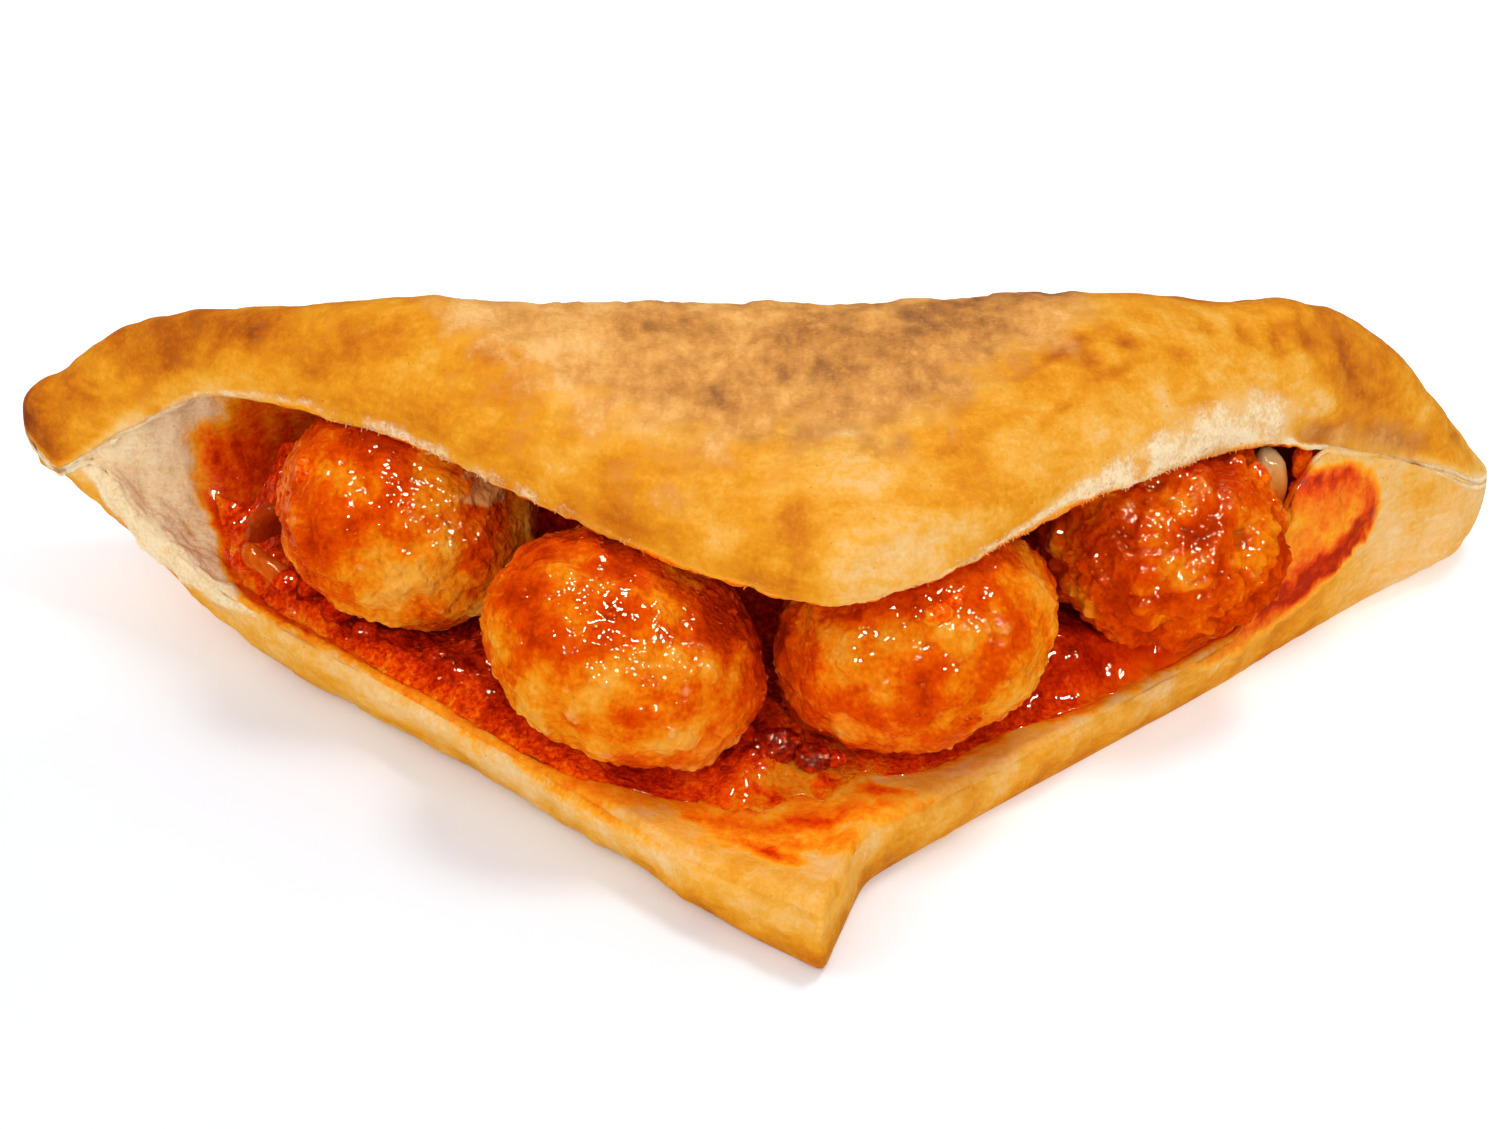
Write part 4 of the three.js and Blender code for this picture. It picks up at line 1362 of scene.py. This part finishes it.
@dataclass
class Sauce:
    """The layer of sauce that runs from the mouth to the back of the pocket.

    Thicknesses are at its front line (``edge``), behind it (``layer``) and more towards the back
    (``deep``). ``puddles`` are smooth pools along x: height, place and width. ``chunks`` are
    dark lumps fused to it: middle and half sizes.
    """

    bread: Bread
    balls: tuple[Meatball, ...]
    start: float = -86.0
    stop: float = 72.0
    stations: int = 400
    steps: int = 96
    seed: int = 37
    edge: float = 0.5
    layer: float = 2.6
    deep: float = 8.5
    puddles: tuple[Triple, ...] = ((1.0, 47, 14), (0.8, 61, 8))
    chunks: tuple[tuple[Triple, Triple], ...] = (
        ((-69.8, -28.6, 13.6), (3.0, 2.6, 2.4)),
        ((-5.6, -64.6, 12.0), (3.2, 2.4, 2.2)),
        ((-0.6, -66.2, 11.2), (2.2, 1.8, 1.7)),
    )

    def _height(self, x: Array, y: Array, t: Array) -> Array:
        """Give the sauce's thickness at a place, t being 0 at its front and 1 at its back."""
        h = self.edge * (1 - 0.6 * bump(x, -2, 16))
        h = h + self.layer * (1 - 0.6 * bump(x, -3, 15)) * ramp(0, 0.16, t)
        h = h + self.deep * ramp(0.42, 0.8, t)
        for ball in self.balls:
            h = h + 2.4 * bump(ball.away(x, y), 0.98, 0.28) * ramp(0, 0.12, t)
        h = h + 3.2 * bump(x, 46, 17) * ramp(0.02, 0.2, t) * (1 - ramp(0.3, 0.5, t))
        h = h + 3.5 * bump(x, -78, 9) * ramp(0.1, 0.5, t)
        return h + 0.5 * wave(x, y, 0 * x, 2.4, 5.2) * ramp(0.05, 0.2, t)

    def build(self) -> tuple[Array, Array, dict[str, Array]]:
        """Shape the sauce.

        Returns:
            Points, triangles and painted masks.
        """
        form = self.bread.form
        u = np.linspace(0, 1, self.stations)[:, None]
        x = mix(self.start, self.stop, mix(u, (1 - np.cos(np.pi * u)) / 2, 0.35))
        s = form.slice_at(x)
        wide = np.maximum(0.04, (1 - np.abs(2 * u - 1) ** 5) ** (1 / 2.5))
        t = (1 - np.cos(np.linspace(0, 1, self.steps) * np.pi * 0.5)) ** 0.8
        grain = Grain(self.seed)
        line = np.concatenate([x, 0 * x, 0 * x], -1)
        ragged = 1.1 * grain.layered(line, 7, 3)[:, None] + 0.35 * grain.smooth(line, 1.5)[:, None]
        front = sauce_front(form, x) + ragged
        back = mix(front, s.deepest, 0.86)
        centre = mix(front, back, 0.55)
        y = centre + (mix(front, back, t) - centre) * wide
        floor = form.wall(s, clamp01((y - s.lower) / (s.deepest - s.lower)), Side.FLOOR)
        roof = form.wall(s, clamp01((y - s.upper) / (s.deepest - s.upper)), Side.ROOF)
        roof = np.where(y > s.upper, roof, 1e3)
        x = np.broadcast_to(x, y.shape)
        h = np.maximum(0.3, self._height(x, y, t) * mix(0.35, 1, ramp(0, 0.5, wide)))
        h = h * (1 - 0.8 * ramp(0.9, 1, t))
        places = np.stack([x, y, floor], -1)
        lumps = grain.lumps(places, 5.0, 0.12) + 0.6 * grain.lumps(places + 8, 2.4, 0.1)
        pulp = 1.7 * lumps + 0.3 * grain.layered(places, 1.8, 2) - 0.3
        puddle = humps(x, *self.puddles)
        rolls = grain.layered(places * np.array([0.8, 1.2, 1.0]) + 60, 5.0, 2)
        rolls = 0.8 * puddle * rolls * ramp(9, 5, y - front)
        # The front ends in a round edge, and towards the tip in a film
        slope = np.gradient(y[:, 0], x[:, 0])[:, None]
        across = np.maximum(y - y[:, :1], 0) / np.sqrt(1 + slope ** 2)
        near_tip = bump(x, 0, 20)
        film = bump(x, -2, 11) * ramp(10, 3, across)
        grainy = clamp01(1 - 0.95 * puddle - 0.5 * film)
        edge = 1 - np.exp(-across / mix(0.9, 6.0, near_tip))
        # The left end is smeared up the wall and thins out in rags
        rag = ramp(0, 14, x - self.start + 2.5 * grain.layered(places + 30, 6.0, 2))
        h = mix(0.25, h, rag) + rolls + pulp * (0.2 + 0.8 * grainy) * mix(0.3, 1, rag)
        top = np.minimum(floor + h * edge + mix(0.15, 0.05, near_tip), roof - 0.5)
        for ball in self.balls:
            top = np.where(ball.away(x, y) < 1, np.minimum(top, ball.underside(x, y) + 0.7), top)
        base = floor - 0.4
        top = np.maximum(top, base + 0.15)

        def both(below: Array, above: Array) -> Array:
            """Join the underside's values and the top's into closed rows."""
            return np.concatenate([below, above[:, ::-1]], axis=1)

        skin = Loft(both(np.stack([x, y, base], -1), np.stack([x, y, top], -1)))
        thin = 0.52 - 0.2 * ramp(0.4, 4.5, top - floor) * (1 - film)
        thin = thin + 0.22 * grain.layered(places + 8, 6, 2)
        thin += 0.14 * ramp(58, 72, -x) + 0.1 * ramp(30, 40, x) * ramp(4, 1, across)
        thin += 0.12 * ramp(1.5, 0, across) + 0.45 * film + 0.08 * puddle - 0.1 * bump(x, -24, 7)
        streaks = ramp(0, 0.6, grain.layered(places + 80, 4.0, 3))
        thin = clamp01(clamp01(thin) - 0.4 * film * streaks)
        pulpy = grainy * ramp(0.5, 1.5, top - floor)
        skin.masks = {
            "thin": both(thin, thin), "grain": 0.25 + 0.75 * both(0 * grainy, grainy),
            "pulpy": both(0 * pulpy, pulpy),
        }
        return self._with_chunks(skin.points(), skin.faces(), skin.painted(), grain)

    def _with_chunks(
        self, points: Array, faces: Array, masks: dict[str, Array], grain: Grain
    ) -> tuple[Array, Array, dict[str, Array]]:
        """Add the dark chunks that stick up out of the sauce."""
        unit, ball_faces = unit_ball(5)
        for middle, half in self.chunks:
            lumps = 1 + 0.34 * grain.layered(unit * 3 + middle[0], 2.4, 5)
            chunk = unit * np.array(half) * lumps[:, None] * 1.05 + np.array(middle)
            faces = np.concatenate([faces, ball_faces + len(points)])
            points = np.concatenate([points, chunk])
            own = {
                "thin": clamp01(0.14 + 0.4 * grain.smooth(chunk, 1.3)),
                "grain": np.ones(len(chunk)), "pulpy": np.zeros(len(chunk)),
            }
            masks = {name: np.concatenate([masks[name], own[name]]) for name in masks}
        return points, faces, masks


@dataclass(frozen=True)
class OnionPiece:
    """A soft slab of onion, bent a little, placed and turned on the sauce."""

    node: str
    middle: Triple
    size: Triple
    turn: Triple
    bend: float
    tint: OnionTint
    corners: float = 2.7

    def build(self) -> Piece:
        """Make the piece of onion."""
        unit, faces = unit_ball(6)
        power = (np.abs(unit) ** self.corners).sum(axis=1) ** (1 / self.corners)
        slab = unit / power[:, None] * np.array(self.size) / 2
        grain = Grain(int(-self.middle[0]) % 90)
        upper = clamp01(0.5 + slab[:, 2] / self.size[2])
        slab[:, 1] += self.bend * (1 - (2 * slab[:, 2] / self.size[2]) ** 2) * 0.5
        slab[:, 0] *= 1 + 0.08 * np.sin(slab[:, 2] + self.middle[0])
        ridges = 0.16 * grain.layered(slab * np.array([1.0, 1.0, 0.3]) + 5, 1.6, 3)
        ridges += 0.6 * grain.smooth(slab + 9, 3.5)
        slab += unit * ridges[:, None]
        turned = Matrix.Identity(3)
        for angle, axis in zip(self.turn, "XYZ"):
            turned = turned @ Matrix.Rotation(angle, 3, axis)
        slab = slab @ np.array(turned).T + np.array(self.middle)
        finish = OnionFinish(self.tint).build()
        return dressed(self.node, slab, faces, {"upper": upper}, finish, "onion")


# Small bits

@dataclass(frozen=True)
class Dabs:
    """Lumps of sauce and pulp at fixed places: middle, half sizes and how orange each one is."""

    name: str
    lumps: tuple[tuple[Triple, Triple, float], ...]
    seed: int = 41

    def build(self, finish: Material) -> Piece:
        """Make the lumps, joined into one mesh.

        Args:
            finish: Their material.

        Returns:
            The piece, riding on the body.
        """
        unit, ball_faces = unit_ball(5)
        grain = Grain(self.seed)
        points, faces, thin = [], [], []
        for count, (middle, half, orange) in enumerate(self.lumps):
            place = unit * np.array(half)
            swell = 1 + 0.25 * grain.layered(place + 13 * count, 2.4, 3)
            points.append(place * swell[:, None] + np.array(middle))
            faces.append(ball_faces + len(unit) * count)
            thin.append(clamp01(orange + 0.15 * grain.smooth(place + 7 * count, 1.5)))
        masks = {"thin": np.concatenate(thin), "grain": np.ones(len(unit) * len(self.lumps))}
        piece = make_piece(self.name, np.concatenate(points), np.concatenate(faces), masks)
        piece.data.materials.append(finish)
        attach(piece, "root")
        return piece


class Bit(Enum):
    """Shapes of strewn bits."""

    SHARD = "GeometryNodeMeshCone"
    LUMP = "GeometryNodeMeshIcoSphere"


@dataclass(frozen=True)
class Strewing:
    """Small bits strewn over a surface where one of its masks is painted.

    Their sizes lie between ``small`` and ``large``, in metres. Each bit points out of the
    surface by ``rise``, droops by ``hang`` and strays by up to ``stray``. The bits keep the masks
    of the place they lie on; ``tinted`` names one that each bit shifts by its own amount.
    """

    name: str
    mask: str
    bit: Bit
    per_mm2: float
    small: Triple
    large: Triple
    rise: float
    hang: float
    stray: float
    seed: int
    tinted: str
    shift: tuple[float, float]

    def _tree(self, finish: Material) -> bpy.types.NodeTree:
        """Build the node tree that strews the bits.

        Args:
            finish: Material of the bits.

        Returns:
            The tree, with inputs for the density and the seed.
        """
        tree = bpy.data.node_groups.new(self.name, "GeometryNodeTree")
        inputs = {"Ground": "Geometry", "Per square metre": "Float", "Seed": "Int"}
        for name, kind in inputs.items():
            tree.interface.new_socket(name, in_out="INPUT", socket_type=f"NodeSocket{kind}")
        tree.interface.new_socket("Bits", in_out="OUTPUT", socket_type="NodeSocketGeometry")
        bench = Bench(tree)
        given = bench.put("NodeGroupInput").socket.node.outputs
        ground, density, seed = (Knob(bench, given[name]) for name in inputs)
        spread = bench.put(
            "GeometryNodeDistributePointsOnFaces", {"distribute_method": "RANDOM"},
            {"Mesh": ground, "Density": density * self._read(bench, self.mask), "Seed": seed},
        )
        outward = Knob(bench, spread.socket.node.outputs["Normal"])
        stray = self._draw(bench, "FLOAT_VECTOR", (-self.stray,) * 3, (self.stray,) * 3, 1)
        lean = bench.vector("ADD", stray, (0.0, -0.3 * self.hang, -self.hang))
        scale = {0: outward, "Scale": self.rise}
        rise = bench.put("ShaderNodeVectorMath", {"operation": "SCALE"}, scale)
        aim = bench.vector("ADD", rise, lean)
        turned = bench.put("FunctionNodeAlignRotationToVector", {"axis": "Z"}, {"Vector": aim})
        size = self._draw(bench, "FLOAT_VECTOR", self.small, self.large, 2)
        if self.bit is Bit.SHARD:
            shape = bench.put(
                self.bit.value, None,
                {"Vertices": 4, "Radius Top": 0.25, "Radius Bottom": 0.5, "Depth": 1.0},
            )
        else:
            shape = bench.put(self.bit.value, None, {"Radius": 0.5, "Subdivisions": 2})
        placed = bench.put(
            "GeometryNodeInstanceOnPoints", None,
            {"Points": spread, "Instance": shape, "Rotation": turned, "Scale": size},
        )
        own = self._read(bench, self.tinted) + self._draw(bench, "FLOAT", *self.shift, 3)
        tinted = bench.put(
            "GeometryNodeStoreNamedAttribute", {"data_type": "FLOAT", "domain": "INSTANCE"},
            {"Geometry": placed, "Name": self.tinted, "Value": own},
        )
        real = bench.put("GeometryNodeRealizeInstances", None, {"Geometry": tinted})
        soft = bench.put("GeometryNodeSetShadeSmooth", None, {"Geometry": real})
        bits = bench.put("GeometryNodeSetMaterial", None, {"Geometry": soft, "Material": finish})
        bench.put("NodeGroupOutput", None, {"Bits": bits})
        return tree

    @staticmethod
    def _read(bench: Bench, mask: str) -> Knob:
        """Read a mask of the surface."""
        return bench.put("GeometryNodeInputNamedAttribute", {"data_type": "FLOAT"}, {"Name": mask})

    def _draw(self, bench: Bench, kind: str, low: object, high: object, step: int) -> Knob:
        """Draw a random value for each bit.

        Args:
            bench: The tree's bench.
            kind: FLOAT or FLOAT_VECTOR.
            low: Lowest value.
            high: Highest value.
            step: Keeps the draws of one tree apart.

        Returns:
            The value.
        """
        first, out = (0, 0) if kind == "FLOAT_VECTOR" else (2, 1)
        values = {first: low, first + 1: high, "Seed": self.seed + step}
        return bench.put("FunctionNodeRandomValue", {"data_type": kind}, values, out)

    def strew(
        self, ground: Piece, finish: Material, slot: str
    ) -> Piece:
        """Strew the bits and turn them into a plain mesh.

        Args:
            ground: The piece that they lie on.
            finish: Their material.
            slot: Slot of the record that they take their finish from; not used.

        Returns:
            The piece, riding on the body.
        """
        holder = ground.copy()
        bpy.context.scene.collection.objects.link(holder)
        modifier = holder.modifiers.new(self.name, "NODES")
        modifier.node_group = self._tree(finish)
        wanted = {"Per square metre": self.per_mm2 / MM ** 2, "Seed": self.seed}
        for item in modifier.node_group.interface.items_tree:
            if item.item_type == "SOCKET" and item.name in wanted:
                modifier[item.identifier] = wanted[item.name]
        view = bpy.context.evaluated_depsgraph_get()
        mesh = bpy.data.meshes.new_from_object(holder.evaluated_get(view), depsgraph=view)
        bpy.data.objects.remove(holder)
        mesh.name = self.name
        piece = in_scene(self.name, mesh)
        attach(piece, "root")
        return piece


# The studio

@dataclass(frozen=True)
class Softbox:
    """A soft light that looks at the middle of the bread.

    A light either fills the scene or only glints on wet surfaces.
    """

    name: str
    at: Triple
    size: tuple[float, float]
    power: float
    glint: bool = False
    colour: Triple = (1.0, 0.8, 0.55)
    aim: Triple = (0.0, 0.0, 0.02)

    def hang(self) -> None:
        """Put the light in the scene."""
        lamp = bpy.data.lights.new(self.name, "AREA")
        lamp.shape = "RECTANGLE"
        lamp.size, lamp.size_y = self.size
        lamp.energy = self.power
        if self.glint:
            lamp.color = self.colour
        holder = in_scene(self.name, lamp)
        holder.location = self.at
        holder.visible_glossy = self.glint
        holder.visible_diffuse = not self.glint
        towards = Vector(self.aim) - Vector(self.at)
        holder.rotation_euler = towards.to_track_quat("-Z", "Y").to_euler()


@dataclass(frozen=True)
class Studio:
    """Floor, lights and the camera at the photograph's angle, in metres."""

    camera_at: Triple = (-0.0013, -0.4635, 0.3300)
    camera_tilt: float = 57.0
    lens: float = 97.79
    sensor: float = 36.0
    far: float = 20.0
    sky: float = 0.57
    half_board: float = 3.0
    softboxes: tuple[Softbox, ...] = (
        Softbox("key", (0.20, 0.05, 0.62), (0.20, 0.16), 1.2),
        Softbox("front", (-0.05, -0.78, 0.62), (0.60, 0.50), 2.1),
        Softbox("left", (-0.50, -0.20, 0.44), (0.40, 0.40), 0.8),
        Softbox("left_glint", (-0.14, -0.36, 0.50), (0.09, 0.05), 3.8, True),
        Softbox("right_glint", (0.22, -0.40, 0.46), (0.07, 0.04), 2.6, True),
        Softbox("side_glint", (0.42, -0.42, 0.40), (0.07, 0.04), 3.0, True),
        Softbox("top_glint", (-0.03, -0.04, 0.60), (0.10, 0.05), 2.2, True),
        Softbox("high_glint", (0.045, -0.02, 0.60), (0.08, 0.04), 2.0, True),
        Softbox("back_glint", (0.20, 0.75, 0.55), (0.30, 0.10), 0.5, True),
    )

    def build(self) -> None:
        """Set the stage."""
        scene = bpy.context.scene
        scene.view_settings.view_transform = "Standard"
        camera = in_scene("camera", bpy.data.cameras.new("camera"))
        camera.location = self.camera_at
        camera.rotation_euler = (math.radians(self.camera_tilt), 0, 0)
        camera.data.lens = self.lens
        camera.data.sensor_width = self.sensor
        camera.data.clip_end = self.far
        scene.camera = camera
        world = bpy.data.worlds.new("studio")
        world.use_nodes = True
        background = world.node_tree.nodes["Background"]
        background.inputs["Color"].default_value = (1.0, 1.0, 1.0, 1.0)
        background.inputs["Strength"].default_value = self.sky
        scene.world = world
        world.cycles_visibility.glossy = False
        for softbox in self.softboxes:
            softbox.hang()
        self._floor()

    def _floor(self) -> None:
        """Lay the white board."""
        mesh = bpy.data.meshes.new("board")
        half = self.half_board
        corners = [(-half, -half, 0), (half, -half, 0), (half, half, 0), (-half, half, 0)]
        mesh.from_pydata(corners, [], [(0, 1, 2, 3)])
        mesh.materials.append(FloorFinish().build())
        board = in_scene("board", mesh)
        board.visible_glossy = False


MEATBALLS = (
    Meatball(
        "meatball_left", middle=(-56.1, -30.5, 27.5), half=(18.0, 17.0, 16.1), lean=0.1,
        seed=1.3, lump=0.045, saucy=0.48, top_sauce=0.25, side_sauce=(-0.25, 0.1),
        cream=(-43.6, -38.2, 36.8),
    ),
    Meatball(
        "meatball_front_left", middle=(-25.6, -60.1, 24.6), half=(18.8, 17.0, 14.9), lean=0.22,
        seed=4.1, lump=0.04, saucy=0.5, top_sauce=0.2, side_sauce=(0.1, 0.1),
    ),
    Meatball(
        "meatball_front_right", middle=(13.1, -55.8, 24.7), half=(19.0, 17.3, 15.7), lean=-0.15,
        seed=7.7, lump=0.04, saucy=0.55, top_sauce=0.1, side_sauce=(-0.1, 0.0),
    ),
    Meatball(
        "meatball_right", middle=(47.6, -35.0, 26.2), half=(16.6, 16.0, 14.8), lean=0.0,
        seed=11.2, lump=0.06, saucy=0.63, top_sauce=0.05, rough=1.3,
    ),
)
ONIONS = (
    OnionPiece(
        "onion_slab", middle=(-76.2, -21.6, 20.4), size=(8.4, 2.6, 10.0),
        turn=(0.5, 0.25, 0.5), bend=0.9, tint=OnionTint.RED,
    ),
    OnionPiece(
        "onion_sliver", middle=(-77.0, -28.6, 17.4), size=(8.2, 2.4, 3.4),
        turn=(0.3, 0.3, -0.55), bend=0.5, tint=OnionTint.TAN,
    ),
    OnionPiece(
        "onion_strip", middle=(64.0, -23.4, 28.4), size=(4.0, 2.6, 9.6),
        turn=(-0.2, -0.15, 0.2), bend=-0.5, tint=OnionTint.PALE,
    ),
)

DABS = Dabs("sauce_lumps", (
    ((15.5, -68.0, 35.2), (2.0, 1.4, 1.8), 0.85), ((17.8, -66.5, 36.6), (1.3, 1.1, 1.2), 0.7),
    ((60.6, -32.6, 33.6), (2.0, 1.8, 2.8), 0.7),
    ((68.2, -23.2, 31.0), (1.4, 1.2, 3.0), 0.75), ((67.9, -24.2, 27.0), (1.4, 1.2, 2.0), 0.55),
    ((64.6, -27.0, 24.2), (2.2, 1.6, 1.8), 0.7), ((61.4, -30.6, 28.8), (1.8, 1.6, 2.4), 0.5),
    ((-69.6, -35.4, 36.4), (1.5, 1.4, 3.0), 0.7), ((-71.6, -33.0, 33.0), (1.4, 1.3, 2.0), 0.6),
    ((-66.6, -34.6, 14.0), (2.4, 2.0, 1.8), 0.3), ((-62.5, -38.0, 12.8), (1.8, 1.6, 1.4), 0.35),
    ((-80.2, -26.6, 17.0), (1.8, 1.4, 1.5), 0.6), ((-74.0, -31.2, 16.6), (2.0, 1.5, 1.4), 0.45),
    ((-71.0, -31.0, 15.6), (1.6, 1.5, 1.5), 0.35), ((-10.4, -63.0, 12.6), (2.4, 2.0, 2.2), 0.35),
    ((-8.0, -66.0, 11.4), (1.6, 1.3, 1.3), 0.5), ((2.4, -66.0, 11.0), (1.6, 1.3, 1.2), 0.45),
    ((69.6, -20.6, 30.6), (2.0, 1.4, 2.6), 0.6), ((62.8, -24.6, 36.4), (3.2, 2.0, 1.6), 0.6),
))
FRINGE = Strewing(
    "crumb_fringe", mask="hairy", bit=Bit.SHARD, per_mm2=9.0, small=(0.00014, 0.00014, 0.0002),
    large=(0.00028, 0.00028, 0.0007), rise=0.35, hang=0.2, stray=0.8, seed=3, tinted="bake",
    shift=(-0.05, 0.05),
)
PULP = Strewing(
    "sauce_pulp", mask="pulpy", bit=Bit.LUMP, per_mm2=0.13, small=(0.0006, 0.0005, 0.0003),
    large=(0.0018, 0.0013, 0.0007), rise=1.0, hang=0.0, stray=0.5, seed=5, tinted="thin",
    shift=(-0.12, 0.15),
)
MEAT_BITS = Strewing(
    "bits", mask="pulpy", bit=Bit.LUMP, per_mm2=0.12, small=(0.0005, 0.0005, 0.0003),
    large=(0.0014, 0.0011, 0.0006), rise=1.0, hang=0.0, stray=0.5, seed=7, tinted="sauce",
    shift=(-0.14, 0.12),
)


def report(piece: Piece) -> None:
    """Log a finished piece's name and size."""
    mesh = piece.data
    LOG.info("%s: %d points, %d faces", piece.name, len(mesh.vertices), len(mesh.polygons))


def main() -> None:
    """Build every piece in order."""
    logging.basicConfig(level=logging.INFO, format="%(name)s: %(message)s")
    Studio().build()
    bread = Bread()
    skin = bread.build()
    bread_finish = BreadFinish().build()
    crust = dressed("bread", skin.points(), skin.faces(), skin.painted(), bread_finish, "bread")
    report(crust)
    report(FRINGE.strew(crust, FringeFinish().build(), "bread"))
    ball = unit_ball(7)
    meat = MeatFinish().build()
    for meatball in MEATBALLS:
        piece = meatball.build(ball, meat)
        report(piece)
        bits = replace(MEAT_BITS, name=f"{meatball.node}_bits", seed=int(meatball.seed * 10))
        report(bits.strew(piece, meat, "meatball"))
    shape = Sauce(bread, MEATBALLS).build()
    wet = SauceFinish().build()
    sauce = dressed("tomato_sauce", *shape, wet, "tomato_sauce")
    report(sauce)
    report(PULP.strew(sauce, wet, "tomato_sauce"))
    report(DABS.build(wet))
    for onion in ONIONS:
        report(onion.build())


if __name__ == "__main__":
    main()
